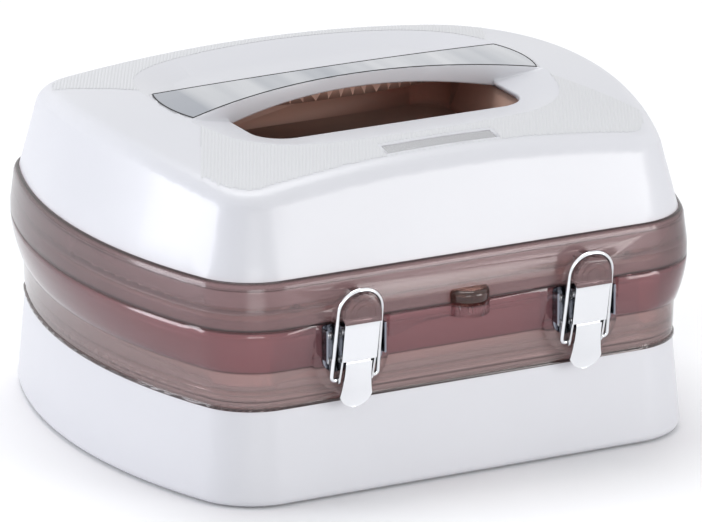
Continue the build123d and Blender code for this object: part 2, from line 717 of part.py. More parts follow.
def well_screw_places():
    """Where the hand well is screwed up under the cover."""
    side = OPENING_X + WELL_SCREW_OUT
    front = -(OPENING_Y + WELL_SCREW_OUT)
    return [(-side, WELL_SCREW_Y), (side, WELL_SCREW_Y), (-WELL_SCREW_X, front), (WELL_SCREW_X, front)]


def label_prism(play):
    """Upright body on the plan of the bare plate, smaller all round by play."""
    half_x = LABEL_LENGTH / 2 - play
    half_y = LABEL_WIDTH / 2 - play
    middle_y = LABEL_IN + cover_inset(CROWN_TOP_Z) - HALF_DEPTH
    return box_between((-half_x, middle_y - half_y, CELLAR_Z), (half_x, middle_y + half_y, CEILING_Z))


def top_cover():
    """White cover with a hollow round the handle bar and a finger opening in front of it."""
    rear_skirt = bar_prism(0) - bar_prism(GRIP_SKIRT) - front_half()
    frame = rounded_frame(OPENING_X, OPENING_Y, OPENING_RADIUS, CELLAR_Z)
    opening = prism_z(frame, DISH_FLOOR_Z + 1 - CELLAR_Z)
    opening = (opening & front_half()) - bar_prism(0)
    cavity = cover_body(COVER_WALL, CROWN_SKIN) - dish(DISH_WALL, GRIP_SKIRT)
    arch = (under_bar(0) & bar_prism(0)) - rear_skirt
    cover = cover_body(0, 0) - dish(0, 0) - cavity
    for x, y in cover_screw_places():
        cover += rod_z(x, y, COVER_FOOT_Z, COVER_FOOT_Z + COVER_POST_HEIGHT, COVER_POST_RADIUS)
    post_z = DISH_FLOOR_Z - DISH_WALL
    for x, y in well_screw_places():
        cover += rod_z(x, y, post_z, post_z + DISH_WALL, POST_RADIUS)
    for x, y in handle_screw_places():
        cover += rod_z(x, y, HANDLE_POST_Z, HANDLE_SCREW_Z + HANDLE_SCREW_LENGTH + 1, COVER_POST_RADIUS)
    cover -= opening
    cover -= arch
    cover -= screw_holes(cover_screw_places(), COVER_FOOT_Z - 1, COVER_FOOT_Z + SCREW_LENGTH)
    cover -= screw_holes(well_screw_places(), post_z - 1, post_z + WELL_SCREW_BITE)
    cover -= bar_prism(GASKET_MARGIN) - crown(CROWN_TOP_Z - PLATE_THICKNESS - GASKET_THICKNESS)
    cover -= label_prism(0) - crown(CROWN_TOP_Z - LABEL_DEPTH)
    hole_top_z = HANDLE_SCREW_Z + HANDLE_SCREW_LENGTH + SEAT_GAP
    cover -= screw_holes(handle_screw_places(), HANDLE_POST_Z - 1, hole_top_z)
    return softened(cover)


def rounded_near(shape, radius, points):
    """Rounds the edge nearest to each point."""
    edges = [min(shape.edges(), key=lambda edge: edge.distance_to(Vertex(*point))) for point in points]
    return fillet(edges, radius)


def opening_rim_points():
    """One point on each edge of the finger opening's rim, in front of the bar."""
    cut = OPENING_RADIUS * (1 - math.sqrt(0.5))
    points = [(0, -OPENING_Y, DISH_FLOOR_Z)]
    for side in (-1, 1):
        points.append((side * (OPENING_X - cut), cut - OPENING_Y, DISH_FLOOR_Z))
        points.append((side * OPENING_X, (BAR_MID_HALF + OPENING_Y) / -2, DISH_FLOOR_Z))
    return points


def softened(cover):
    """Rounds the edges that a hand meets at the bar and the opening."""
    x = (OPENING_X + BAR_END_X) / 2
    y = BAR_END_HALF - (BAR_END_HALF - BAR_MID_HALF) / 4
    z = (DISH_FLOOR_Z + DISH_TOP_Z) / 2
    cover = rounded_near(cover, SLOPE_ROUND, [(-x, -y, z), (x, -y, z)])
    cover = rounded_near(cover, OPENING_ROUND, opening_rim_points())
    return rounded_near(cover, GRIP_ROUND, [(0, -BAR_MID_HALF, CROWN_TOP_Z - BAR_THICKNESS)])


def handle_screw_places():
    """Where the grip is screwed up into the bar."""
    return [(-HANDLE_SCREW_X, 0), (HANDLE_SCREW_X, 0)]


def handle_grip():
    """Filler of the bar, which the fingers feel from below."""
    inner = bar_prism(GRIP_SKIRT + SEAT_GAP) & crown(CROWN_TOP_Z - CROWN_SKIN - SEAT_GAP)
    ends = box_between((-GRIP_END_X, -CASE_DEPTH, 0), (GRIP_END_X, CASE_DEPTH, CEILING_Z))
    grip = (inner & ends) - under_bar(0)
    grip -= screw_holes(handle_screw_places(), CELLAR_Z, CEILING_Z)
    for x, y in handle_screw_places():
        grip -= rod_z(x, y, CELLAR_Z, HANDLE_SCREW_Z, SCREW_HEAD_RADIUS + SEAT_GAP)
        grip -= rod_z(x, y, HANDLE_POST_Z - SEAT_GAP, CEILING_Z, COVER_POST_RADIUS + SEAT_GAP)
    return grip


def handle_gasket():
    """Dark seal in the floor of the bar's pocket; its edge shows round the plate."""
    play = GASKET_MARGIN + SEAT_GAP
    body = bar_prism(play) & crown(CROWN_TOP_Z - PLATE_THICKNESS)
    return body - crown(CROWN_TOP_Z - PLATE_THICKNESS - GASKET_THICKNESS)


def handle_plate():
    """Bright plate along the top of the bar, a little proud of the crown."""
    body = bar_prism(PLATE_MARGIN) & crown(CROWN_TOP_Z + PLATE_PROUD)
    return body - crown(CROWN_TOP_Z - PLATE_THICKNESS)


def label_plate():
    """Bare plate in the pocket on the front of the crown."""
    top = CROWN_TOP_Z - LABEL_DEPTH
    return (label_prism(SEAT_GAP) & crown(top + LABEL_THICKNESS)) - crown(top)


def well_outline(extra, z):
    """Plan of the hand well: as the opening in front, short behind the bar."""
    half_y = (WELL_BACK_Y + OPENING_Y) / 2
    middle_y = (WELL_BACK_Y - OPENING_Y) / 2
    frame = RectangleRounded(2 * (OPENING_X + extra), 2 * (half_y + extra), OPENING_RADIUS + extra)
    return (Pos(0, middle_y, z) * frame).face().outer_wire()


def well_body(extra, z0, z1):
    """Tub that narrows by the well's draft towards its floor."""
    low = well_outline(extra - WELL_DRAFT, z0)
    return Solid.make_loft([low, well_outline(extra, z1)], ruled=True)


def hand_well():
    """Smoked tub that closes the finger opening below and gives the hand its room."""
    top_z = DISH_FLOOR_Z - DISH_WALL - SEAT_GAP
    floor_z = top_z - WELL_DEPTH
    well = well_body(WELL_WALL + 1, floor_z, top_z)
    well += prism_z(well_outline(WELL_FLANGE + WELL_WALL, top_z - WELL_WALL), WELL_WALL)
    well -= well_body(1, floor_z + WELL_WALL, top_z) + prism_z(well_outline(1, top_z), 1)
    roof = prism_z(well_outline(WELL_WALL, top_z - WELL_WALL), WELL_WALL)
    roof -= bar_prism(GRIP_SKIRT + SEAT_GAP + WELL_WALL) + front_half()
    lip = bar_prism(GRIP_SKIRT + SEAT_GAP) - bar_prism(GRIP_SKIRT + SEAT_GAP + WELL_WALL)
    lip &= box_between((-LIP_HALF_X, 0, top_z - WELL_WALL), (LIP_HALF_X, CASE_DEPTH, CEILING_Z))
    lip &= under_bar(MOVING_GAP)
    well += roof
    well += lip
    well -= screw_holes(well_screw_places(), top_z - WELL_WALL - 1, top_z + 1)
    return well


def well_screws():
    """Screws that hold the hand well up under the cover."""
    return screws(well_screw_places(), DISH_FLOOR_Z - DISH_WALL - SEAT_GAP - WELL_WALL, -WELL_SCREW_LENGTH)


def cover_screws():
    """Screws that hold the cover on the upper band, driven from below."""
    return screws(cover_screw_places(), COVER_FOOT_Z - SHELF_THICKNESS, -SCREW_LENGTH)


def handle_screws():
    """Screws that hold the grip up in the bar."""
    return screws(handle_screw_places(), HANDLE_SCREW_Z, -HANDLE_SCREW_LENGTH)


# ---------------------------------------------------------------- hinge and latches


def hinge_pin(x):
    """Headed pin through the knuckles of one hinge."""
    half = 1.5 * KNUCKLE_LENGTH + MOVING_GAP + SEAT_GAP
    pin = rod_x(x - half, x + half, HINGE_Y, PARTING_Z, HINGE_PIN_RADIUS)
    return pin + rod_x(x + half, x + half + HINGE_PIN_CAP, HINGE_Y, PARTING_Z, HINGE_PIN_HEAD)


def lever_point(out, up):
    """Point of the closed lever as (y, z), out from its pivot and up along it."""
    return (PIVOT_Y - out * LEAN_COS - up * LEAN_SIN, PIVOT_Z - out * LEAN_SIN + up * LEAN_COS)


def lever_plane(x):
    """Plane of the closed lever through its pivot, facing outwards."""
    return Plane(origin=(x, PIVOT_Y, PIVOT_Z), x_dir=(1, 0, 0), z_dir=(0, -LEAN_COS, -LEAN_SIN))


def bail_plane(x):
    """Plane of the closed bail through its pivot, facing outwards."""
    rise = (BAIL_TOP_Z - BAIL_PIN_Z) / BAIL_HEIGHT
    back = (BAIL_PIN_Y - BAIL_TOP_Y) / BAIL_HEIGHT
    return Plane(origin=(x, BAIL_PIN_Y, BAIL_PIN_Z), x_dir=(1, 0, 0), z_dir=(0, -rise, -back))


def latch_bracket(x):
    """Folded bracket on the lower band: back plate, low rims and two ears."""
    half = BRACKET_HALF_WIDTH
    low_z = BRACKET_BOTTOM_Z + BRACKET_CORNER
    plate = box_between((x - half, BRACKET_FACE_Y, BRACKET_BOTTOM_Z), (x + half, PAD_FACE_Y, BRACKET_TOP_Z))
    corners = plate.edges().filter_by(Axis.Y).sort_by(Axis.Z)
    plate = fillet(corners[:2], BRACKET_CORNER)
    corners = plate.edges().filter_by(Axis.Y).sort_by(Axis.Z)
    plate = fillet(corners[-2:], BRACKET_TOP_CORNER)
    rim_y = BRACKET_FACE_Y - BRACKET_RIM
    for side in (-1, 1):
        edges = sorted((x + side * half, x + side * (half - BRACKET_SHEET)))
        plate += box_between((edges[0], rim_y, low_z), (edges[1], PAD_FACE_Y, BRACKET_TOP_Z - RIM_DROP))
        ear_edges = sorted((x + side * EAR_HALF_WIDTH, x + side * (EAR_HALF_WIDTH - EAR_THICKNESS)))
        plate += ear(*ear_edges)
    plate -= rod_x(x - half, x + half, PIVOT_Y, PIVOT_Z, PIVOT_PIN_RADIUS + RUNNING_GAP)
    for rx, rz in rivet_places(x):
        plate -= rod_y(rx, rz, BRACKET_FACE_Y - 1, PAD_FACE_Y + 1, RIVET_RADIUS + RUNNING_GAP)
    return plate


def ear(x0, x1):
    """One ear of a bracket, sloping down from the pivot to the back plate."""
    root = BRACKET_FACE_Y + BRACKET_THICKNESS / 2
    dy = EAR_RADIUS * math.cos(math.radians(EAR_SLOPE))
    dz = EAR_RADIUS * math.sin(math.radians(EAR_SLOPE))
    points = [
        (PIVOT_Y + dy, PIVOT_Z + dz),
        (root, PIVOT_Z - EAR_TOP_DROP),
        (root, PIVOT_Z - EAR_BOTTOM_DROP),
        (PIVOT_Y - dy, PIVOT_Z - dz),
    ]
    return side_plate(points, x0, x1) + rod_x(x0, x1, PIVOT_Y, PIVOT_Z, EAR_RADIUS)


def latch_rivets(x):
    """Four rivets that hold a bracket on its seat."""
    solids = []
    for rx, rz in rivet_places(x):
        shank = rod_y(rx, rz, BRACKET_FACE_Y - RIVET_HEAD / 2, PAD_FACE_Y + RIVET_LENGTH, RIVET_RADIUS)
        solids.append(shank + rod_y(rx, rz, BRACKET_FACE_Y - RIVET_HEAD, BRACKET_FACE_Y, RIVET_HEAD_RADIUS))
    return solids


def latch_pin(x):
    """Pin of a lever, riveted through the ears."""
    half = LEVER_HALF_WIDTH + PIN_HEAD_GAP
    pin = rod_x(x - half, x + half, PIVOT_Y, PIVOT_Z, PIVOT_PIN_RADIUS)
    for side in (-1, 1):
        ends = sorted((x + side * half, x + side * (half + PIN_HEAD)))
        pin += rod_x(*ends, PIVOT_Y, PIVOT_Z, PIN_HEAD_RADIUS)
    return pin


def latch_lever(x):
    """Folded lever: flat face with a flange down each side."""
    inner = LEVER_FACE - LEVER_SHEET
    face_y = (LEVER_ABOVE - LEVER_BELOW) / 2
    face = lever_plane(x) * Pos(0, face_y, LEVER_FACE - LEVER_SHEET / 2) * Box(
        2 * LEVER_HALF_WIDTH, LEVER_ABOVE + LEVER_BELOW, LEVER_SHEET
    )
    outline_points = [
        lever_point(inner + LEVER_SHEET / 2, FLANGE_TOP),
        lever_point(-FLANGE_BACK, FLANGE_TOP / 2),
        lever_point(-FLANGE_EYE - BAIL_PIN_BACK, -BAIL_PIN_BELOW),
        lever_point(FLANGE_EYE - BAIL_PIN_BACK, -BAIL_PIN_BELOW),
        lever_point(inner + LEVER_SHEET / 2, -LEVER_BELOW),
    ]
    lever = face
    for side in (-1, 1):
        edges = sorted((x + side * LEVER_HALF_WIDTH, x + side * (LEVER_HALF_WIDTH - LEVER_FLANGE)))
        lever += side_plate(outline_points, *edges)
        lever += rod_x(*edges, PIVOT_Y, PIVOT_Z, FLANGE_BACK)
        lever += rod_x(*edges, BAIL_PIN_Y, BAIL_PIN_Z, FLANGE_EYE)
    span = (x - LATCH_ROOM, x + LATCH_ROOM)
    lever -= rod_x(*span, PIVOT_Y, PIVOT_Z, PIVOT_PIN_RADIUS + RUNNING_GAP)
    lever -= rod_x(*span, BAIL_PIN_Y, BAIL_PIN_Z, WIRE_RADIUS + RUNNING_GAP)
    return lever


def latch_tongue(x):
    """Finger tongue welded inside the lever, flared and round at its tip."""
    top = -(LEVER_BELOW + TONGUE_GAP)
    neck, wide, at = TONGUE_NECK_HALF, TONGUE_WIDE_HALF, -TONGUE_WIDE_AT
    waist = (neck + wide) / 2 - TONGUE_WAIST
    middle = (top + at) / 2
    edges = [
        Line((-neck, top), (neck, top)),
        ThreePointArc((neck, top), (waist, middle), (wide, at)),
        ThreePointArc((wide, at), (0, -TONGUE_TIP), (-wide, at)),
        ThreePointArc((-wide, at), (-waist, middle), (-neck, top)),
    ]
    inner = LEVER_FACE - LEVER_SHEET
    blade = Pos(0, 0, inner) * extrude(make_face(Wire(edges)), LEVER_SHEET)
    lap_half = EAR_HALF_WIDTH - EAR_THICKNESS - MOVING_GAP
    lap = box_between((-lap_half, top - 1, inner - LEVER_SHEET), (lap_half, top + TONGUE_LAP, inner))
    return lever_plane(x) * (blade + lap)


def latch_bail(x):
    """Wire bail: arch over the catch, legs that spread a little, feet turned into the lever."""
    end = LEVER_HALF_WIDTH - LEVER_FLANGE - BAIL_END_PROUD
    path = FilletPolyline(
        (-end, 0),
        (-BAIL_FOOT_HALF, 0),
        (-BAIL_ARCH_HALF, BAIL_HEIGHT),
        (BAIL_ARCH_HALF, BAIL_HEIGHT),
        (BAIL_FOOT_HALF, 0),
        (end, 0),
        radius=[BAIL_BEND, BAIL_ARCH_HALF - BAIL_FLAT, BAIL_ARCH_HALF - BAIL_FLAT, BAIL_BEND],
    )
    section = Plane(origin=path @ 0, z_dir=path % 0) * Circle(WIRE_RADIUS)
    return bail_plane(x) * sweep(section, path=path)


# ---------------------------------------------------------------- write


def all_parts():
    """Every piece by name."""
    parts = {
        "base_shell": base_shell(),
        "rubber_feet": rubber_feet(),
        "lower_band": lower_band(),
        "band_screws": band_screws(),
        "lift_out_tray": lift_out_tray(),
        "upper_band": upper_band(),
        "thumb_tab": thumb_tab(),
        "top_cover": top_cover(),
        "cover_screws": cover_screws(),
        "hand_well": hand_well(),
        "well_screws": well_screws(),
        "handle_grip": handle_grip(),
        "handle_screws": handle_screws(),
        "handle_gasket": handle_gasket(),
        "handle_plate": handle_plate(),
        "label_plate": label_plate(),
    }
    for number, x in enumerate(divider_places(), start=1):
        parts[f"tray_divider_{number}"] = divider(x, DIVIDER_PLAY, DIVIDER_TOP_Z)
    for side, x in HINGES.items():
        parts[f"hinge_pin_{side}"] = hinge_pin(x)
    for side, x in LATCHES.items():
        parts[f"latch_bracket_{side}"] = latch_bracket(x)
        parts[f"latch_rivets_{side}"] = latch_rivets(x)
        parts[f"latch_pin_{side}"] = latch_pin(x)
        parts[f"latch_lever_{side}"] = latch_lever(x)
        parts[f"latch_tongue_{side}"] = latch_tongue(x)
        parts[f"latch_bail_{side}"] = latch_bail(x)
    return parts


def main():
    """Write one file per piece."""
    os.makedirs("parts", exist_ok=True)
    for name, shape in all_parts().items():
        if isinstance(shape, list):
            shape = Compound(children=[solid for item in shape for solid in item.solids()])
        export_step(shape, f"parts/{name}.step")


main()
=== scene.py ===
"""Looks of the vanity case: finishes, smoothed shells, ribbed crown, latches, studio.

Metres, +Z up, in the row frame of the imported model. Every piece stands where its
CAD node stands and rides on that node's body.
"""

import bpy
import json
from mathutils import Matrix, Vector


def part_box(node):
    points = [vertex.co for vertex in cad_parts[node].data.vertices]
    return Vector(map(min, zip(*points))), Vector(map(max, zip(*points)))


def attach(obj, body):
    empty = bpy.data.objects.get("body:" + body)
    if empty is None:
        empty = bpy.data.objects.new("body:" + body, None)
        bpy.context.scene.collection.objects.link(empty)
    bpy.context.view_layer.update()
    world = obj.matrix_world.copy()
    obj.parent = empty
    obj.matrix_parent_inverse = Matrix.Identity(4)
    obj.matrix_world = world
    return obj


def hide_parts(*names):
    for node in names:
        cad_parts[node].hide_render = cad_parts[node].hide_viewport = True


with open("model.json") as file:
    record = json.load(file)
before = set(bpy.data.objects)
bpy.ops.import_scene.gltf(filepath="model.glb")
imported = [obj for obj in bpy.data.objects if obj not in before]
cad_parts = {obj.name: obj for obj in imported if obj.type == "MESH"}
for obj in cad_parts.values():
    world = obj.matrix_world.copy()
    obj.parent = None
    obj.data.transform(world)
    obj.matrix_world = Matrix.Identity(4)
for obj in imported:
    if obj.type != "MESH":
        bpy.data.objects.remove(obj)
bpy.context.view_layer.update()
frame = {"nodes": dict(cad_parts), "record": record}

import json
import logging
import math
from dataclasses import dataclass, field
from enum import Enum
from typing import Any, Optional, Sequence

import bmesh
import bpy
from mathutils import Matrix, Vector

Color = tuple[float, float, float]
Socket = bpy.types.NodeSocket

LOG = logging.getLogger("vanity_case")
MM = 0.001
BODIES: dict[str, list[str]] = frame["record"]["behaviour"]["bodies"]
SIDES = ("left", "right")

# Corners nearer than this are one corner. Edges over a crease angle, in degrees, stay sharp.
WELD = 0.001 * MM
SHELL_CREASE = 32.0
PART_CREASE = 40.0
BEVEL_ANGLE = 50.0
BEVEL_STEPS = 3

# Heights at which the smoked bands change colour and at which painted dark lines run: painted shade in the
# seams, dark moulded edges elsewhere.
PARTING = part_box("thumb_tab")[0].z
COVER_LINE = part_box("upper_band")[1].z
TUB_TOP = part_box("base_shell")[1].z
BULGE_FOOT = TUB_TOP + 21.5 * MM

# Shares and scales that all finishes have in common.
WHITE = (1.0, 1.0, 1.0, 1.0)
PLASTIC_IOR = 1.38
COAT_ROUGHNESS = 0.08
RIM_BLEND = 0.35
# Reach and samples of the occlusion that paints shade into corners between pieces.
PAINTED_SHADE_REACH = 4 * MM
PAINTED_SHADE_SAMPLES = 6
EDGE_DEPTH = 0.9
COLOR_BLEND = 1.5 * MM
GRAIN_SCALE = 900.0
CLOUD_SCALE = 14.0
GLOSS_SPREAD = 0.15
RELIEF_DEPTH = 0.2 * MM
BRUSH_STRETCH = (40.0, 900.0, 900.0)
# Stretch, slant and tones of the painted reflection streaks on the bar's plate.
REFLECTION_STREAK_STRETCH = (55.0, 3.0, 3.0)
REFLECTION_STREAK_TURN = -24.0
REFLECTION_STREAK_TONES = ((0.36, (0.62, 0.64, 0.68, 1.0)), (0.66, WHITE))


class Slot(Enum):
    """Material slots of the record."""

    SHELL = "shell"
    SMOKED_UPPER = "smoked_upper"
    SMOKED_LOWER = "smoked_lower"
    SMOKED_INNER = "smoked_inner"
    AMBER = "amber"
    CHROME = "chrome"
    STEEL = "steel"
    PLATE = "plate"
    RUBBER = "rubber"


class Texture(Enum):
    """Kinds of fine surface texture, and streaks of painted reflection."""

    GRAIN = "grain"
    BRUSHED = "brushed"
    REFLECTION_STREAKED = "streaked"
    SMOOTH = "smooth"


class Nodes:
    """A node tree that grows step by step."""

    def __init__(self, tree: bpy.types.NodeTree, family: str) -> None:
        """Takes a tree.

        Args:
            tree: The tree to fill.
            family: Prefix of most of its node types.
        """
        self.tree = tree
        self.family = family

    def add(self, kind: str, values: Optional[dict[Any, Any]] = None, **settings: Any) -> bpy.types.Node:
        """Adds a node.

        Args:
            kind: Full name of a shader node type, or a type's name without the family's prefix.
            values: Input name or number to a socket or a plain value.
            **settings: Properties of the node.

        Returns:
            The node.
        """
        node = self.tree.nodes.new(kind if kind.startswith("Shader") else self.family + kind)
        for key, value in settings.items():
            setattr(node, key, value)
        for key, value in (values or {}).items():
            if isinstance(value, Socket):
                self.tree.links.new(value, node.inputs[key])
            else:
                node.inputs[key].default_value = value
        return node

    def math(self, operation: str, a: Any, b: Any = 0.0) -> Socket:
        """Adds one arithmetic step.

        Args:
            operation: Name of the operation.
            a: First socket or number.
            b: Second socket or number.

        Returns:
            The result.
        """
        return self.add("ShaderNodeMath", {0: a, 1: b}, operation=operation).outputs[0]

    def mix(self, share: Any, low: Any, high: Any, blend: str = "MIX") -> Socket:
        """Mixes two colours.

        Args:
            share: How much of the second colour applies, 0 to 1.
            low: First colour.
            high: Second colour.
            blend: Way of mixing.

        Returns:
            The mixed colour.
        """
        values = {"Factor": share, "A": low, "B": high}
        return self.add("ShaderNodeMix", values, data_type="RGBA", blend_type=blend).outputs["Result"]

    def darker(self, color: Socket, share: Socket, depth: float) -> Socket:
        """Darkens a colour by a share.

        Args:
            color: Colour to darken.
            share: How much of the darkening applies, 0 to 1.
            depth: Strength of the whole.

        Returns:
            The darkened colour.
        """
        return self.mix(share, color, (1 - depth, 1 - depth, 1 - depth, 1.0), "MULTIPLY")


@dataclass(frozen=True)
class Finish:
    """One procedural finish.

    Attributes:
        slot: Material slot of the record it belongs to; not used.
        color: Base colour, linear RGB.
        roughness: Mean roughness of the surface.
        metallic: 1 for bare metal, 0 for the rest.
        clear: Share of light that the plastic lets through, 0 to 1.
        tint: Colour that one surface gives to a shadow.
        rim: How dark the finish gets where it is seen edge on.
        texture: Kind of fine texture.
        bump: Strength of that texture's relief.
        coat: Strength of a clear coat.
        shade: How much the colour varies from place to place.
        painted_crevice_shade: Strength of the painted shade in corners between pieces, from an occlusion node.
        edges: Height and half thickness of each painted dark line; at the seams with the cover, the tub and the
            other band it is painted shade, elsewhere a moulded edge seen through the wall.
        low_color: Colour of the part below low_top.
        low_top: Height at which the upper colour starts.
    """

    slot: Slot
    color: Color
    roughness: float
    metallic: float = 0.0
    clear: float = 0.0
    tint: Color = (1.0, 1.0, 1.0)
    rim: float = 0.0
    texture: Texture = Texture.SMOOTH
    bump: float = 0.03
    coat: float = 0.0
    shade: float = 0.02
    painted_crevice_shade: float = 0.0
    edges: tuple[tuple[float, float], ...] = ()
    low_color: Optional[Color] = None
    low_top: float = 0.0

    def build(self, name: str) -> bpy.types.Material:
        """Makes the material.

        Args:
            name: Name of the new material.

        Returns:
            The material, with its node tree.
        """
        mat = bpy.data.materials.new(name)
        mat.use_nodes = True
        mat.node_tree.nodes.clear()
        nodes = Nodes(mat.node_tree, "ShaderNode")
        coat = {"Coat Weight": self.coat, "Coat Roughness": COAT_ROUGHNESS}
        skin = nodes.add("BsdfPrincipled", {"Metallic": self.metallic, **coat})
        color = self._darkened(nodes, self._surface(nodes, skin))
        nodes.tree.links.new(color, skin.inputs["Base Color"])
        shown = skin.outputs["BSDF"]
        if self.clear > 0:
            skin.inputs["Transmission Weight"].default_value = self.clear
            skin.inputs["IOR"].default_value = PLASTIC_IOR
            shown = self._lit_inside(nodes, shown)
        nodes.add("OutputMaterial", {"Surface": shown})
        return mat

    def _lit_inside(self, nodes: Nodes, shown: Socket) -> Socket:
        """Lets lamps shine through a clear plastic, so that what is behind it is lit.

        Args:
            nodes: Node tree of the material.
            shown: Shader that the eye sees.

        Returns:
            The shader with tinted shadows.
        """
        path = nodes.add("LightPath")
        rays = nodes.math("MAXIMUM", path.outputs["Is Shadow Ray"], path.outputs["Is Diffuse Ray"])
        veil = nodes.add("BsdfTransparent", {"Color": (*self.tint, 1.0)})
        return nodes.add("MixShader", {"Fac": rays, 1: shown, 2: veil.outputs["BSDF"]}).outputs["Shader"]

    def _darkened(self, nodes: Nodes, color: Socket) -> Socket:
        """Darkens the colour at edges seen side on, and paints shade into corners between pieces.

        Args:
            nodes: Node tree of the material.
            color: Colour so far.

        Returns:
            The darkened colour.
        """
        if self.rim > 0:
            facing = nodes.add("LayerWeight", {"Blend": RIM_BLEND})
            color = nodes.darker(color, facing.outputs["Facing"], self.rim)
        # Painted shade: where other surfaces come close, an ambient occlusion node darkens the colour.
        if self.painted_crevice_shade > 0:
            occlusion = nodes.add("AmbientOcclusion", {"Distance": PAINTED_SHADE_REACH}, samples=PAINTED_SHADE_SAMPLES)
            color = nodes.darker(color, nodes.math("SUBTRACT", 1.0, occlusion.outputs["AO"]), self.painted_crevice_shade)
        return color

    def _surface(self, nodes: Nodes, skin: bpy.types.Node) -> Socket:
        """Adds colour variation, painted reflection streaks where asked, uneven gloss and relief.

        Args:
            nodes: Node tree of the material.
            skin: Principled node that takes them.

        Returns:
            The varied colour.
        """
        coord = nodes.add("TexCoord").outputs["Object"]
        place, scale = coord, GRAIN_SCALE
        if self.texture is Texture.BRUSHED:
            place = nodes.add("Mapping", {"Vector": coord, "Scale": BRUSH_STRETCH}).outputs["Vector"]
            scale = 1.0
        fine = nodes.add("TexNoise", {"Vector": place, "Scale": scale, "Detail": 3.0}).outputs["Fac"]
        broad = nodes.add("TexNoise", {"Vector": coord, "Scale": CLOUD_SCALE, "Detail": 2.0}).outputs["Fac"]
        dim, lit = [(*[part * share for part in self.color], 1.0) for share in (1 - self.shade, 1 + self.shade)]
        color = self._by_height(nodes, coord, nodes.mix(broad, dim, lit))
        # Painted reflections: dark and bright streaks across the polished plate.
        if self.texture is Texture.REFLECTION_STREAKED:
            color = self._painted_reflections(nodes, coord, color)
        low, high = self.roughness * (1 - GLOSS_SPREAD), self.roughness * (1 + GLOSS_SPREAD)
        gloss = nodes.add("MapRange", {"Value": fine, "To Min": low, "To Max": high})
        nodes.tree.links.new(gloss.outputs["Result"], skin.inputs["Roughness"])
        if self.texture in (Texture.GRAIN, Texture.BRUSHED):
            relief = nodes.add("Bump", {"Height": fine, "Strength": self.bump, "Distance": RELIEF_DEPTH})
            nodes.tree.links.new(relief.outputs["Normal"], skin.inputs["Normal"])
        return color

    def _by_height(self, nodes: Nodes, coord: Socket, color: Socket) -> Socket:
        """Adds the lower colour and the painted dark lines: shade in the seams, moulded edges elsewhere.

        Args:
            nodes: Node tree of the material.
            coord: Place on the piece.
            color: Colour so far.

        Returns:
            The colour with both.
        """
        if not self.edges and self.low_color is None:
            return color
        height = nodes.add("SeparateXYZ", {0: coord}).outputs["Z"]
        if self.low_color is not None:
            ends = {"From Min": self.low_top - COLOR_BLEND, "From Max": self.low_top + COLOR_BLEND}
            share = nodes.add("MapRange", {"Value": height, **ends})
            color = nodes.mix(share.outputs["Result"], (*self.low_color, 1.0), color)
        # Painted dark lines. The lines along the seams between parts are painted shade.
        for line, half in self.edges:
            away = nodes.math("ABSOLUTE", nodes.math("SUBTRACT", height, line))
            faded = nodes.math("MINIMUM", nodes.math("DIVIDE", away, half), 1.0)
            color = nodes.darker(color, nodes.math("SUBTRACT", 1.0, faded), EDGE_DEPTH)
        return color

    def _painted_reflections(self, nodes: Nodes, coord: Socket, color: Socket) -> Socket:
        """Paints reflections: the soft dark and bright streaks that a polished plate shows across its length,
        where it reflects its surroundings.

        Args:
            nodes: Node tree of the material.
            coord: Place on the piece.
            The colour with the painted reflections.

        Returns:
            The streaked colour.
        """
        turn = (0.0, 0.0, math.radians(REFLECTION_STREAK_TURN))
        slant = nodes.add("Mapping", {"Vector": coord, "Rotation": turn, "Scale": REFLECTION_STREAK_STRETCH})
        cloud = nodes.add("TexNoise", {"Vector": slant.outputs["Vector"], "Scale": 1.0, "Detail": 1.5})
        ramp = nodes.add("ValToRGB", {"Fac": cloud.outputs["Fac"]})
        for stop, (place, tone) in zip(ramp.color_ramp.elements, REFLECTION_STREAK_TONES):
            stop.position = place
            stop.color = tone
        return nodes.mix(1.0, color, ramp.outputs["Color"], "MULTIPLY")


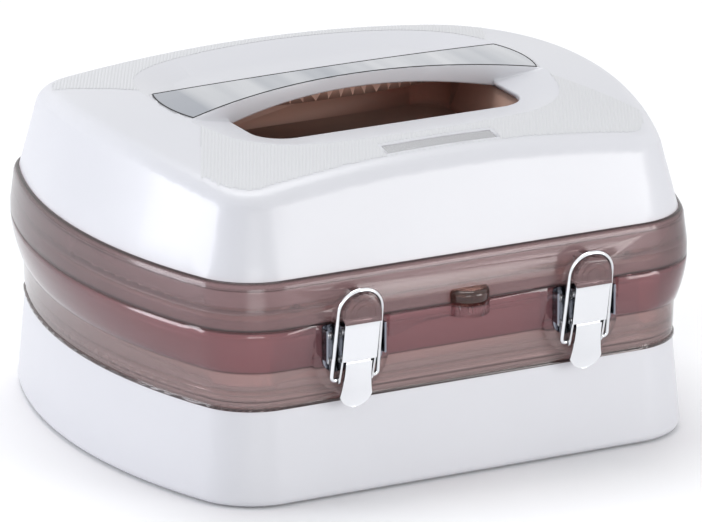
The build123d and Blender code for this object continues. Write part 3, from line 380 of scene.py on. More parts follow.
FINISHES: dict[str, Finish] = {
    "white_plastic": Finish(Slot.SHELL, (0.565, 0.568, 0.598), 0.36, texture=Texture.GRAIN, coat=0.1),
    "ribbed_plastic": Finish(Slot.SHELL, (0.55, 0.555, 0.57), 0.45),
    "smoked_upper": Finish(
        Slot.SMOKED_UPPER, (0.35, 0.245, 0.25), 0.16, clear=0.7, tint=(0.86, 0.75, 0.74), rim=0.8,
        coat=0.1,
        edges=(
            (COVER_LINE - 0.3 * MM, 1.1 * MM),
            (COVER_LINE - 4.1 * MM, 0.5 * MM),
            (PARTING + 0.3 * MM, 0.8 * MM),
        ),
    ),
    "smoked_lower": Finish(
        Slot.SMOKED_LOWER, (0.34, 0.17, 0.188), 0.12, clear=0.68, tint=(0.82, 0.66, 0.67), rim=0.85,
        coat=0.3, low_color=(0.52, 0.385, 0.375), low_top=BULGE_FOOT,
        edges=(
            (PARTING - 0.8 * MM, 0.8 * MM),
            (BULGE_FOOT + 0.2 * MM, 0.9 * MM),
            (TUB_TOP + 1.1 * MM, 1.1 * MM),
            (TUB_TOP + 5.1 * MM, 0.5 * MM),
        ),
    ),
    "smoked_inner": Finish(
        Slot.SMOKED_INNER, (0.62, 0.44, 0.38), 0.2, clear=0.35, tint=(0.84, 0.7, 0.64), rim=0.7,
        shade=0.05,
    ),
    # Painted light: a brighter copy of the tray's smoked plastic, lighter to make up for the light that hardly
    # reaches the well. Its corners get painted shade.
    "smoked_well_painted_light": Finish(
        Slot.SMOKED_INNER, (0.88, 0.58, 0.47), 0.5, clear=0.3, tint=(0.9, 0.76, 0.68), rim=0.8,
        shade=0.05, painted_crevice_shade=0.8,
    ),
    "amber": Finish(
        Slot.AMBER, (0.22, 0.12, 0.1), 0.04, clear=0.9, tint=(0.75, 0.5, 0.4), rim=0.9,
        coat=0.4,
    ),
    "chrome": Finish(Slot.CHROME, (0.86, 0.87, 0.89), 0.07, 1.0, shade=0.01, rim=0.3, painted_crevice_shade=0.75),
    # Painted shade: a darkened copy of chrome for the bracket, standing in for the dark surroundings it
    # reflects and the shade inside it.
    "bracket_chrome_painted_shade": Finish(Slot.CHROME, (0.25, 0.26, 0.3), 0.14, 1.0, shade=0.1, rim=0.2, painted_crevice_shade=0.7),
    "bar_plate": Finish(Slot.CHROME, (0.6, 0.615, 0.645), 0.12, 1.0, texture=Texture.REFLECTION_STREAKED),
    "steel": Finish(
        Slot.STEEL, (0.5, 0.5, 0.52), 0.25, 1.0, texture=Texture.BRUSHED, bump=0.05, painted_crevice_shade=0.6,
    ),
    "plate": Finish(Slot.PLATE, (0.42, 0.425, 0.44), 0.26, 0.9, texture=Texture.BRUSHED, bump=0.05),
    "rubber": Finish(Slot.RUBBER, (0.012, 0.012, 0.013), 0.75, texture=Texture.GRAIN, bump=0.2),
}


def welded(mesh: bpy.types.Mesh) -> bmesh.types.BMesh:
    """Opens a mesh with its loose corners joined.

    Args:
        mesh: The mesh, left as it is.

    Returns:
        The open mesh, for the caller to free.
    """
    work = bmesh.new()
    work.from_mesh(mesh)
    bmesh.ops.remove_doubles(work, verts=work.verts, dist=WELD)
    return work


def smooth(mesh: bpy.types.Mesh, crease: float = PART_CREASE) -> None:
    """Smooths a mesh.

    Args:
        mesh: The mesh, changed in place.
        crease: Angle in degrees from which an edge stays sharp.
    """
    mesh.shade_smooth()
    mesh.set_sharp_from_angle(angle=math.radians(crease))


def write_back(work: bmesh.types.BMesh, mesh: bpy.types.Mesh) -> None:
    """Closes an open mesh, smooth and with outward normals.

    Args:
        work: The open mesh.
        mesh: The mesh that takes its shape.
    """
    bmesh.ops.recalc_face_normals(work, faces=work.faces)
    work.to_mesh(mesh)
    work.free()
    smooth(mesh)


def mesh_from(verts: Sequence[Sequence[float]], faces: Sequence[Sequence[int]], name: str) -> bpy.types.Mesh:
    """Makes a smooth mesh with outward normals.

    Args:
        verts: Corners, in metres.
        faces: Corner numbers of each face.
        name: Name of the mesh.

    Returns:
        The mesh.
    """
    mesh = bpy.data.meshes.new(name)
    mesh.from_pydata([tuple(v) for v in verts], [], [tuple(f) for f in faces])
    write_back(welded(mesh), mesh)
    return mesh


def quarter_turn(steps: int) -> list[float]:
    """Gives the angles of a quarter turn.

    Args:
        steps: Number of steps.

    Returns:
        The angles, from 0 to a right angle.
    """
    return [math.pi / 2 * i / steps for i in range(steps + 1)]


def lathe(profile: Sequence[tuple[float, float]], steps: int, name: str) -> bpy.types.Mesh:
    """Turns a profile round +Z.

    Args:
        profile: (radius, height) points, from the axis at the bottom to the axis at the top.
        steps: Number of sides.
        name: Name of the mesh.

    Returns:
        A closed mesh.
    """
    verts: list[tuple[float, float, float]] = [(0, 0, profile[0][1]), (0, 0, profile[-1][1])]
    rings = profile[1:-1]
    for radius, height in rings:
        for i in range(steps):
            a = 2 * math.pi * i / steps
            verts.append((radius * math.cos(a), radius * math.sin(a), height))
    faces: list[tuple[int, ...]] = []
    last = 2 + (len(rings) - 1) * steps
    for i in range(steps):
        j = (i + 1) % steps
        faces.append((0, 2 + j, 2 + i))
        faces.append((1, last + i, last + j))
        for ring in range(2, last, steps):
            faces.append((ring + i, ring + j, ring + steps + j, ring + steps + i))
    return mesh_from(verts, faces, name)


def tube(
    path: Sequence[Vector], radius: float, side: Vector, name: str, steps: int = 10, closed: bool = False
) -> bpy.types.Mesh:
    """Sweeps a round section along a nearly flat path.

    Args:
        path: Points of the centre line.
        radius: Radius of the section.
        side: Direction square to the plane of the path.
        name: Name of the mesh.
        steps: Sides of the section.
        closed: Whether the path runs on from its last point to its first.

    Returns:
        A closed mesh.
    """
    verts: list[Vector] = []
    count = len(path)
    for i, point in enumerate(path):
        if closed:
            ahead = path[(i + 1) % count] - path[i - 1]
        else:
            ahead = path[min(i + 1, count - 1)] - path[max(i - 1, 0)]
        across = ahead.normalized().cross(side)
        for k in range(steps):
            a = 2 * math.pi * k / steps
            verts.append(point + radius * (math.cos(a) * across + math.sin(a) * side))
    faces: list[tuple[int, ...]] = []
    for i in range(count if closed else count - 1):
        here, there = i * steps, (i + 1) % count * steps
        for k in range(steps):
            m = (k + 1) % steps
            faces.append((here + k, here + m, there + m, there + k))
    if not closed:
        faces.append(tuple(range(steps)))
        faces.append(tuple(len(verts) - 1 - k for k in range(steps)))
    return mesh_from(verts, faces, name)


def linked(name: str, data: bpy.types.ID) -> bpy.types.Object:
    """Puts an object into the scene.

    Args:
        name: Name of the object.
        data: Its mesh, lamp or camera.

    Returns:
        The object.
    """
    obj = bpy.data.objects.new(name, data)
    bpy.context.scene.collection.objects.link(obj)
    return obj


def body_of_node(node: str) -> str:
    """Finds the body of a CAD node.

    Args:
        node: Name of the CAD node.

    Returns:
        Name of its body.
    """
    return next(body for body, members in BODIES.items() if node in members)


def solid_boxes(node: str) -> list[tuple[Vector, Vector]]:
    """Finds the box of each loose solid of a CAD node.

    Args:
        node: Name of the CAD node.

    Returns:
        Lowest and highest corner of each.
    """
    work = welded(frame["nodes"][node].data)
    seen: set[bmesh.types.BMVert] = set()
    boxes = []
    for start in work.verts:
        if start in seen:
            continue
        seen.add(start)
        group, queue = [], [start]
        while queue:
            vert = queue.pop()
            group.append(vert.co.copy())
            fresh = [edge.other_vert(vert) for edge in vert.link_edges if edge.other_vert(vert) not in seen]
            seen.update(fresh)
            queue += fresh
        low, high = [Vector([pick(point[i] for point in group) for i in range(3)]) for pick in (min, max)]
        boxes.append((low, high))
    work.free()
    return sorted(boxes, key=lambda box: tuple(box[0]))


@dataclass
class Workshop:
    """Makes pieces, and keeps the materials that are already made."""

    materials: dict[str, bpy.types.Material] = field(default_factory=dict)

    def material(self, finish: str) -> bpy.types.Material:
        """Gives the material of a finish.

        Args:
            finish: Key in FINISHES.

        Returns:
            The material, made on first use.
        """
        if finish not in self.materials:
            self.materials[finish] = FINISHES[finish].build(finish)
        return self.materials[finish]

    def piece(self, name: str, mesh: bpy.types.Mesh, finish: str) -> bpy.types.Object:
        """Makes an object with a finish, not yet on any body.

        Args:
            name: Name of the object.
            mesh: Its mesh, in the row frame.
            finish: Key in FINISHES.

        Returns:
            The new object.
        """
        obj = linked(name, mesh)
        mesh.materials.clear()
        mesh.materials.append(self.material(finish))
        return obj

    def hand_over(self, obj: bpy.types.Object, body: str, finish: str, *nodes: str) -> bpy.types.Object:
        """Puts a finished piece on its body and hides the CAD nodes it takes the place of.

        Args:
            obj: The piece.
            body: CAD body it rides on.
            finish: Key in FINISHES; not used.
            *nodes: CAD nodes it takes the place of.

        Returns:
            The same piece.
        """
        if nodes:
            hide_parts(*nodes)
        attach(obj, body)
        LOG.info("%s on %s, %d faces", obj.name, body, len(obj.data.polygons))
        return obj

    def apply_modifiers(self, obj: bpy.types.Object) -> None:
        """Turns an object's modifiers into plain mesh.

        Args:
            obj: The object, changed in place.
        """
        graph = bpy.context.evaluated_depsgraph_get()
        shown = obj.evaluated_get(graph)
        mesh = bpy.data.meshes.new_from_object(shown, preserve_all_data_layers=True, depsgraph=graph)
        obj.modifiers.clear()
        obj.data = mesh

    def carried(self, node: str, finish: str, bevel: float = 0.0, even: bool = True) -> bpy.types.Object:
        """Makes the piece that stands for one CAD node.

        Args:
            node: Name of the CAD node.
            finish: Key in FINISHES.
            bevel: Width of the rounded edges, 0 for none.
            even: Whether large faces rule the shading of their corners.

        Returns:
            The piece, on the node's body.
        """
        mesh = frame["nodes"][node].data.copy()
        work = welded(mesh)
        work.to_mesh(mesh)
        work.free()
        smooth(mesh, SHELL_CREASE)
        obj = self.piece(f"look_{node}", mesh, finish)
        if bevel:
            mod = obj.modifiers.new("edges", "BEVEL")
            mod.width = bevel
            mod.segments = BEVEL_STEPS
            mod.limit_method = "ANGLE"
            mod.angle_limit = math.radians(BEVEL_ANGLE)
            mod.harden_normals = True
        if even:
            obj.modifiers.new("even_normals", "WEIGHTED_NORMAL").keep_sharp = True
        self.apply_modifiers(obj)
        return self.hand_over(obj, body_of_node(node), finish, node)


class RepeatGroup(Nodes):
    """A geometry node group with named inputs and a material."""

    def __init__(self, name: str) -> None:
        """Starts the group with one geometry input and one geometry output.

        Args:
            name: Name of the group.
        """
        super().__init__(bpy.data.node_groups.new(name, "GeometryNodeTree"), "GeometryNode")
        for way in ("INPUT", "OUTPUT"):
            self.tree.interface.new_socket("Geometry", in_out=way, socket_type="NodeSocketGeometry")
        self.entry = self.tree.nodes.new("NodeGroupInput")
        self.exit = self.tree.nodes.new("NodeGroupOutput")

    def ask(self, name: str, kind: str) -> Socket:
        """Adds a named input.

        Args:
            name: Name of the input.
            kind: Socket type, without its NodeSocket prefix.

        Returns:
            The socket that gives the input's value.
        """
        self.tree.interface.new_socket(name, in_out="INPUT", socket_type=f"NodeSocket{kind}")
        return self.entry.outputs[name]

    def vector(self, x: Any = 0.0, y: Any = 0.0, z: Any = 0.0) -> Socket:
        """Joins three sockets or numbers into a vector.

        Args:
            x: First part.
            y: Second part.
            z: Third part.

        Returns:
            The vector.
        """
        return self.add("ShaderNodeCombineXYZ", {"X": x, "Y": y, "Z": z}).outputs[0]

    def copies(self, points: Socket, piece: Socket, turn: Any = (0.0, 0.0, 0.0)) -> Socket:
        """Sets one piece on every point.

        Args:
            points: Geometry whose points are the places.
            piece: Geometry that is repeated.
            turn: Rotation of each copy.

        Returns:
            All the copies as real geometry.
        """
        placed = self.add("InstanceOnPoints", {"Points": points, "Instance": piece, "Rotation": turn})
        return self.add("RealizeInstances", {"Geometry": placed.outputs["Instances"]}).outputs["Geometry"]

    def close(self, shape: Socket) -> None:
        """Gives the group's shape its material and sends it out.

        Args:
            shape: The finished geometry.
        """
        done = self.add("SetMaterial", {"Geometry": shape, "Material": self.ask("Material", "Material")})
        self.tree.links.new(done.outputs["Geometry"], self.exit.inputs["Geometry"])

    def run(self, shop: Workshop, obj: bpy.types.Object, finish: str, values: dict[str, Any]) -> None:
        """Runs the group on an object and keeps what it makes.

        Args:
            shop: The workshop.
            obj: The object, changed in place.
            finish: Key in FINISHES.
            values: Input name to value.
        """
        values = {**values, "Material": shop.material(finish)}
        mod = obj.modifiers.new(self.tree.name, "NODES")
        mod.node_group = self.tree
        for item in self.tree.interface.items_tree:
            if item.name in values:
                mod[item.identifier] = values[item.name]
        shop.apply_modifiers(obj)
        obj.data.shade_smooth()


@dataclass
class CaseBase:
    """Tub, lower band, feet, tray and dividers."""

    shop: Workshop
    foot_edge: float = 0.5 * MM
    divider_edge: float = 0.3 * MM

    def build(self) -> None:
        """Makes the pieces."""
        self.shop.carried("base_shell", "white_plastic")
        self.shop.carried("lower_band", "smoked_lower")
        self.shop.carried("rubber_feet", "rubber", self.foot_edge)
        self.shop.carried("lift_out_tray", "smoked_inner")
        for number in (1, 2, 3):
            self.shop.carried(f"tray_divider_{number}", "smoked_inner", self.divider_edge)


@dataclass
class CatchFace:
    """Raised arches on the face of each catch."""

    shop: Workshop
    radii: tuple[float, ...] = (4.0 * MM, 7.2 * MM)
    bead: float = 0.45 * MM
    leg: float = 2.2 * MM
    below_wire: float = 13.5 * MM
    steps: int = 24

    def build(self) -> None:
        """Makes the arches."""
        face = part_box("upper_band")[0].y
        for side in SIDES:
            lever_low, lever_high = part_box(f"latch_lever_{side}")
            wire_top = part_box(f"latch_bail_{side}")[1].z
            centre = Vector(((lever_low.x + lever_high.x) / 2, face, wire_top - self.below_wire))
            for number, radius in enumerate(self.radii, start=1):
                mesh = tube(self._arch(centre, radius), self.bead, Vector((0, 1, 0)), f"arch_{side}_{number}")
                obj = self.shop.piece(f"catch_arch_{side}_{number}", mesh, "smoked_upper")
                self.shop.hand_over(obj, "lid", "smoked_upper")

    def _arch(self, centre: Vector, radius: float) -> list[Vector]:
        """Gives the centre line of one arch.

        Args:
            centre: Centre of its round top.
            radius: Radius of its round top.

        Returns:
            The points, from the left foot to the right one.
        """
        turns = [math.pi * (1 - i / self.steps) for i in range(self.steps + 1)]
        top = [centre + radius * Vector((math.cos(a), 0, math.sin(a))) for a in turns]
        left, right = [centre + Vector((x, 0, -self.leg)) for x in (-radius, radius)]
        return [left, *top, right]


# Inputs of the ribs' group. End is -1 for the front and 1 for the back; the bare rectangle has no ribs.
RIB_INPUTS = {
    "Cover": "Object",
    "End": "Float",
    "Count": "Int",
    "Pitch": "Float",
    "Length": "Float",
    "Height": "Float",
    "Turn": "Vector",
    "Middle": "Vector",
    "Bare Half X": "Float",
    "Bare Half Y": "Float",
    "Bare Y": "Float",
}


@dataclass
class RibbedCrown:
    """Fine ribs on the front and back of the crown.

    Attributes:
        shop: The workshop.
        cover: Finished cover that the ribs lie on.
        count: Number of ribs.
        pitch: Distance from rib to rib.
        fill: Share of the pitch that a rib takes.
        length: Length of a rib before it is cut to the ribbed field.
        height: Height of a rib.
        sunk: How deep its foot lies in the cover.
        turn: Slant of the ribs, degrees.
        middle: Distance from the lid's middle to the middle of each field.
        segments: Points along a rib.
        columns: Points across a rib.
        search_top: Height from which the cover is searched.
        search_foot: Height below which no rib lies.
        field_slope: Growth of a field's half width towards its outer end.
        field_start: Half width of a field at the lid's middle.
        lean: Least and greatest outward lean of the cover under the ribs.
        bare: Smooth margin round the plate in front.
    """

    shop: Workshop
    cover: bpy.types.Object
    count: int = 150
    pitch: float = 1.86 * MM
    fill: float = 0.98
    length: float = 225 * MM
    height: float = 0.2 * MM
    sunk: float = 0.02 * MM
    turn: float = -27.3
    middle: float = 92 * MM
    segments: int = 150
    columns: int = 5
    search_top: float = 220 * MM
    search_foot: float = 162 * MM
    field_slope: float = 0.5
    field_start: float = 88 * MM
    lean: tuple[float, float] = (0.055, 0.245)
    bare: float = 1.2 * MM

    def build(self) -> None:
        """Makes the two ribbed fields."""
        plate_low, plate_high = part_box("label_plate")
        plate_y = (plate_low.y + plate_high.y) / 2
        values = {
            "Cover": self.cover,
            "Count": self.count,
            "Pitch": self.pitch,
            "Length": self.length,
            "Height": self.height,
            "Turn": (0.0, 0.0, math.radians(self.turn)),
            "Bare Half X": plate_high.x + self.bare,
            "Bare Half Y": plate_high.y - plate_y + self.bare,
            "Bare Y": plate_y,
        }
        group = self._group()
        for name, end in (("front", -1.0), ("back", 1.0)):
            obj = self.shop.piece(f"crown_ribs_{name}", bpy.data.meshes.new(f"ribs_{name}"), "ribbed_plastic")
            values |= {"End": end, "Middle": (0.0, end * self.middle, 0.0)}
            group.run(self.shop, obj, "ribbed_plastic", values)
            self.shop.hand_over(obj, "lid", "ribbed_plastic")

    def _group(self) -> RepeatGroup:
        """Makes the group that lays ribs on one end of the crown.

        Returns:
            The group, with the inputs of RIB_INPUTS and Material.
        """
        group = RepeatGroup("crown_ribs")
        asked = {name: group.ask(name, kind) for name, kind in RIB_INPUTS.items()}
        cover = group.add("ObjectInfo", {"Object": asked["Cover"]}).outputs["Geometry"]
        place = group.add("InputPosition").outputs[0]
        at = group.add("ShaderNodeSeparateXYZ", {0: place}).outputs
        ribs = self._ribs(group, asked, at["X"])
        turn = {"Rotation": asked["Turn"], "Translation": asked["Middle"]}
        turned = group.add("Transform", {"Geometry": ribs, **turn}).outputs["Geometry"]
        ray = group.add(
            "Raycast",
            {
                "Target Geometry": cover,
                "Source Position": group.vector(at["X"], at["Y"], self.search_top),
                "Ray Direction": (0.0, 0.0, -1.0),
                "Ray Length": self.search_top - self.search_foot,
            },
        ).outputs
        ground = group.add("ShaderNodeSeparateXYZ", {0: ray["Hit Position"]}).outputs["Z"]
        level = group.math("SUBTRACT", group.math("ADD", ground, at["Z"]), self.sunk)
        laid = group.vector(at["X"], at["Y"], level)
        draped = group.add("SetPosition", {"Geometry": turned, "Position": laid}).outputs["Geometry"]
        drop = group.math("LESS_THAN", self._kept(group, asked, at, ray), 0.5)
        cut = group.add("DeleteGeometry", {"Geometry": draped, "Selection": drop}, domain="POINT")
        group.close(cut.outputs["Geometry"])
        return group

    def _ribs(self, group: RepeatGroup, asked: dict[str, Socket], across: Socket) -> Socket:
        """Makes a flat row of round-backed ribs.

        Args:
            group: The group.
            asked: Its inputs by name.
            across: Distance across a rib.

        Returns:
            The row.
        """
        pitch = asked["Pitch"]
        span = group.math("MULTIPLY", group.math("SUBTRACT", asked["Count"], 1.0), pitch)
        first = group.vector(x=group.math("MULTIPLY", span, -0.5))
        row = {"Count": asked["Count"], "Start Location": first, "Offset": group.vector(x=pitch)}
        line = group.add("MeshLine", row, mode="OFFSET").outputs[0]
        size = {"Size X": group.math("MULTIPLY", pitch, self.fill), "Size Y": asked["Length"]}
        strip = group.add("MeshGrid", {**size, "Vertices X": self.columns, "Vertices Y": self.segments})
        share = group.math("DIVIDE", across, pitch)
        rise = group.math("SUBTRACT", 0.25, group.math("MULTIPLY", share, share))
        lift = group.vector(z=group.math("MULTIPLY", rise, group.math("MULTIPLY", asked["Height"], 4.0)))
        rounded = group.add("SetPosition", {"Geometry": strip.outputs["Mesh"], "Offset": lift})
        return group.copies(line, rounded.outputs["Geometry"])

    def _kept(self, group: RepeatGroup, asked: dict[str, Socket], at: Any, ray: Any) -> Socket:
        """Tells where ribs stay.

        Args:
            group: The group.
            asked: Its inputs by name.
            at: X, Y and Z of a point.
            ray: What lies under it.

        Returns:
            1 inside the ribbed field, 0 outside.
        """
        end = asked["End"]
        normal = group.add("ShaderNodeSeparateXYZ", {0: ray["Hit Normal"]}).outputs["Y"]
        outward = group.math("MULTIPLY", normal, end)
        reach = group.math("MULTIPLY", at["Y"], end)
        half = group.math("ADD", group.math("MULTIPLY", reach, self.field_slope), self.field_start)
        width = group.math("ABSOLUTE", at["X"])
        from_plate = group.math("ABSOLUTE", group.math("SUBTRACT", at["Y"], asked["Bare Y"]))
        beside = group.math("GREATER_THAN", width, asked["Bare Half X"])
        beyond = group.math("GREATER_THAN", from_plate, asked["Bare Half Y"])
        keep = ray["Is Hit"]
        for test in (
            group.math("GREATER_THAN", outward, self.lean[0]),
            group.math("LESS_THAN", outward, self.lean[1]),
            group.math("LESS_THAN", width, half),
            group.math("MAXIMUM", beside, beyond),
        ):
            keep = group.math("MULTIPLY", keep, test)
        return keep


@dataclass
class ThumbTab:
    """Amber tab with a full round edge, cut flat where it meets the band."""

    shop: Workshop
    radius: float = 12 * MM
    reach: float = 9.4 * MM
    edge: float = 2.6 * MM
    edge_steps: int = 6
    steps: int = 96

    def build(self) -> None:
        """Makes the tab."""
        low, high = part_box("thumb_tab")
        height = high.z - low.z
        flat = self.radius - self.edge
        bend = quarter_turn(self.edge_steps)
        under = [(flat + self.edge * math.sin(a), self.edge * (1 - math.cos(a))) for a in bend]
        over = [(radius, height - rise) for radius, rise in reversed(under)]
        mesh = lathe([(0.0, 0.0), *under, *over, (0.0, height)], self.steps, "thumb_tab_round")
        mesh.transform(Matrix.Translation((0, low.y + self.radius, low.z)))
        work = welded(mesh)
        cut = bmesh.ops.bisect_plane(
            work,
            geom=[*work.verts, *work.edges, *work.faces],
            plane_co=(0, low.y + self.reach, 0),
            plane_no=(0, 1, 0),
            clear_outer=True,
        )
        rim = [edge for edge in cut["geom_cut"] if isinstance(edge, bmesh.types.BMEdge)]
        bmesh.ops.contextual_create(work, geom=rim)
        write_back(work, mesh)
        obj = self.shop.piece("look_thumb_tab", mesh, "amber")
        self.shop.hand_over(obj, "lid", "amber", "thumb_tab")


@dataclass
class SealBead:
    """Dark bead of the seal that shows all round the bar's plate."""

    shop: Workshop
    radius: float = 0.34 * MM
    out: float = 0.2 * MM
    sunk: float = 0.12 * MM
    sides: int = 8

    def build(self) -> None:
        """Makes the bead along the plate's upper edge."""
        rim = self._rim()
        after = rim[1:] + rim[:1]
        area = sum(here.x * there.y - there.x * here.y for here, there in zip(rim, after))
        out = math.copysign(self.out, area)
        path = []
        for i, point in enumerate(rim):
            ahead = after[i] - rim[i - 1]
            across = Vector((ahead.y, -ahead.x, 0)).normalized()
            path.append(point + across * out - Vector((0, 0, self.sunk)))
        mesh = tube(path, self.radius, Vector((0, 0, 1)), "seal_bead", self.sides, closed=True)
        obj = self.shop.piece("seal_bead", mesh, "rubber")
        self.shop.hand_over(obj, "lid", "rubber")

    def _rim(self) -> list[Vector]:
        """Finds the plate's upper edge.

        Returns:
            Its points in order.
        """
        work = welded(frame["nodes"]["handle_plate"].data)
        work.normal_update()
        upper = [edge for edge in work.edges if sum(face.normal.z > 0.5 for face in edge.link_faces) == 1]
        left = set(upper)
        points, vert = [], upper[0].verts[0]
        while (edge := next((edge for edge in vert.link_edges if edge in left), None)) is not None:
            left.remove(edge)
            points.append(vert.co.copy())
            vert = edge.other_vert(vert)
        work.free()
        return points


@dataclass
class Lid:
    """Cover, upper band, thumb tab, bar, plates and finger well."""

    shop: Workshop
    grip_edge: float = 0.3 * MM
    bar_plate_edge: float = 0.2 * MM
    front_plate_edge: float = 0.15 * MM
    well_gap: float = 0.08 * MM

    def build(self) -> None:
        """Makes the pieces."""
        cover = self.shop.carried("top_cover", "white_plastic")
        self.shop.carried("upper_band", "smoked_upper")
        ThumbTab(self.shop).build()
        well = self.shop.carried("hand_well", "smoked_well_painted_light", even=False)
        # The well's skin is drawn in, so that it lies on none of the cover's faces.
        for vert in well.data.vertices:
            vert.co -= vert.normal * self.well_gap
        self.shop.carried("handle_grip", "white_plastic", self.grip_edge)
        self.shop.carried("handle_gasket", "rubber")
        self.shop.carried("handle_plate", "bar_plate", self.bar_plate_edge)
        self.shop.carried("label_plate", "plate", self.front_plate_edge)
        SealBead(self.shop).build()
        RibbedCrown(self.shop, cover).build()
        CatchFace(self.shop).build()


@dataclass
class Tongue:
    """Finger tongue of a latch: narrow at the lever, flared, round at its tip.

    Attributes:
        shop: The workshop.
        side: Left or right.
        lean: Lean of the closed lever, degrees.
        top: Height of the visible top, from the pivot along the lever, as wide_at and tip.
        wide_at: Height of the widest place.
        tip: Height of the round tip.
        neck: Half width at the top.
        wide: Half width at the widest place.
        waist: How far the sides curve in between the two.
        outside: Distance of the outer face from the pivot.
        sheet: Thickness.
        lap: Height of the lap that lies inside the lever.
        lap_half: Half width of the lap.
        overlap: How far the lap reaches down behind the tongue.
        dish: Depth of the hollow face.
        steps: Points along each of the two lengths.
        columns: Points across.
    """

    shop: Workshop
    side: str
    lean: float = 10.6
    top: float = -18.1 * MM
    wide_at: float = -37.7 * MM
    tip: float = -44.6 * MM
    neck: float = 7.8 * MM
    wide: float = 9.5 * MM
    waist: float = 0.6 * MM
    outside: float = 3.68 * MM
    sheet: float = 1.0 * MM
    lap: float = 8.0 * MM
    lap_half: float = 7.2 * MM
    overlap: float = 1.0 * MM
    dish: float = 0.35 * MM
    steps: int = 14
    columns: int = 9

    def build(self) -> None:
        """Makes the tongue."""
        rows = [self.top + (self.wide_at - self.top) * i / self.steps for i in range(self.steps + 1)]
        rows += [self.wide_at + (self.tip - self.wide_at) * math.sin(a) for a in quarter_turn(self.steps)[1:]]
        verts: list[Vector] = []
        for level in (self.outside, self.outside - self.sheet):
            for row in rows:
                half = self._half_width(row)
                for k in range(self.columns):
                    share = 2 * k / (self.columns - 1) - 1
                    sag = self.dish * (1 - share * share) * half / self.wide
                    verts.append(self._place(share * half, row, level - sag))
        mesh = mesh_from(verts, self._faces(len(rows)), "tongue")
        work = welded(mesh)
        self._add_lap(work)
        write_back(work, mesh)
        obj = self.shop.piece(f"look_latch_tongue_{self.side}", mesh, "chrome")
        self.shop.hand_over(obj, f"lever_{self.side}", "chrome", f"latch_tongue_{self.side}")

    def _faces(self, rows: int) -> list[tuple[int, ...]]:
        """Joins the outer and inner grids of points into a closed sheet.

        Args:
            rows: Number of rows in each grid.

        Returns:
            Corner numbers of each face.
        """
        size = rows * self.columns
        grid = [list(range(start, start + self.columns)) for start in range(0, size, self.columns)]
        faces: list[tuple[int, ...]] = []
        for here, there in zip(grid, grid[1:]):
            for a, b, c, d in zip(here, here[1:], there[1:], there):
                faces.append((a, b, c, d))
                faces.append((size + a, size + d, size + c, size + b))
        right = [row[-1] for row in grid[1:]]
        left = [row[0] for row in grid[1:-1]]
        ring = [*grid[0], *right, *grid[-1][-2::-1], *left[::-1]]
        faces += [(a, b, size + b, size + a) for a, b in zip(ring, ring[1:] + ring[:1])]
        return faces

    def _half_width(self, row: float) -> float:
        """Gives half the width at a height below the pivot.

        Args:
            row: Height along the lever.

        Returns:
            Half the width there.
        """
        if row >= self.wide_at:
            share = (self.top - row) / (self.top - self.wide_at)
            return self.neck + (self.wide - self.neck) * share - 4 * self.waist * share * (1 - share)
        drop = self.wide_at - self.tip
        radius = (self.wide**2 + drop**2) / (2 * drop)
        return math.sqrt(max(0.0, radius**2 - (row - self.tip - radius) ** 2))

    def _place(self, across: float, up: float, out: float) -> Vector:
        """Turns a place on the lever into one in the row frame.

        Args:
            across: Distance to the right of the pivot.
            up: Distance up along the lever.
            out: Distance out from the lever's mid plane.

        Returns:
            The point.
        """
        lean = math.radians(self.lean)
        out_way = Vector((0, -math.cos(lean), -math.sin(lean)))
        up_way = Vector((0, -math.sin(lean), math.cos(lean)))
        return self._pivot() + Vector((across, 0, 0)) + up_way * up + out_way * out

    def _pivot(self) -> Vector:
        """Gives the pivot of the lever, in the row frame."""
        joints = frame["record"]["behaviour"]["joints"]
        return Vector(next(joint["pos_m"] for joint in joints if joint["name"] == f"lever_{self.side}"))

    def _add_lap(self, work: bmesh.types.BMesh) -> None:
        """Adds the lap that lies inside the lever.

        Args:
            work: Mesh that gets it.
        """
        inside = self.outside - self.sheet
        half = self.lap_half
        foot, head = self.top - self.overlap, self.top + self.lap
        corners = []
        for out in (inside, inside - self.dish - self.sheet):
            for across, up in ((-half, foot), (half, foot), (half, head), (-half, head)):
                corners.append(work.verts.new(self._place(across, up, out)))
        for loop in ((0, 1, 2, 3), (7, 6, 5, 4), (0, 4, 5, 1), (1, 5, 6, 2), (2, 6, 7, 3), (3, 7, 4, 0)):
            work.faces.new([corners[i] for i in loop])


@dataclass
class Latch:
    """One draw latch."""

    shop: Workshop
    side: str
    edge: float = 0.22 * MM
    pin_edge: float = 0.15 * MM

    def build(self) -> None:
        """Makes bracket, pin, lever, tongue and bail."""
        self.shop.carried(f"latch_bracket_{self.side}", "bracket_chrome_painted_shade", self.edge)
        self.shop.carried(f"latch_pin_{self.side}", "steel", self.pin_edge)
        self.shop.carried(f"latch_lever_{self.side}", "chrome", self.edge)
        Tongue(self.shop, self.side).build()
        self.shop.carried(f"latch_bail_{self.side}", "chrome")


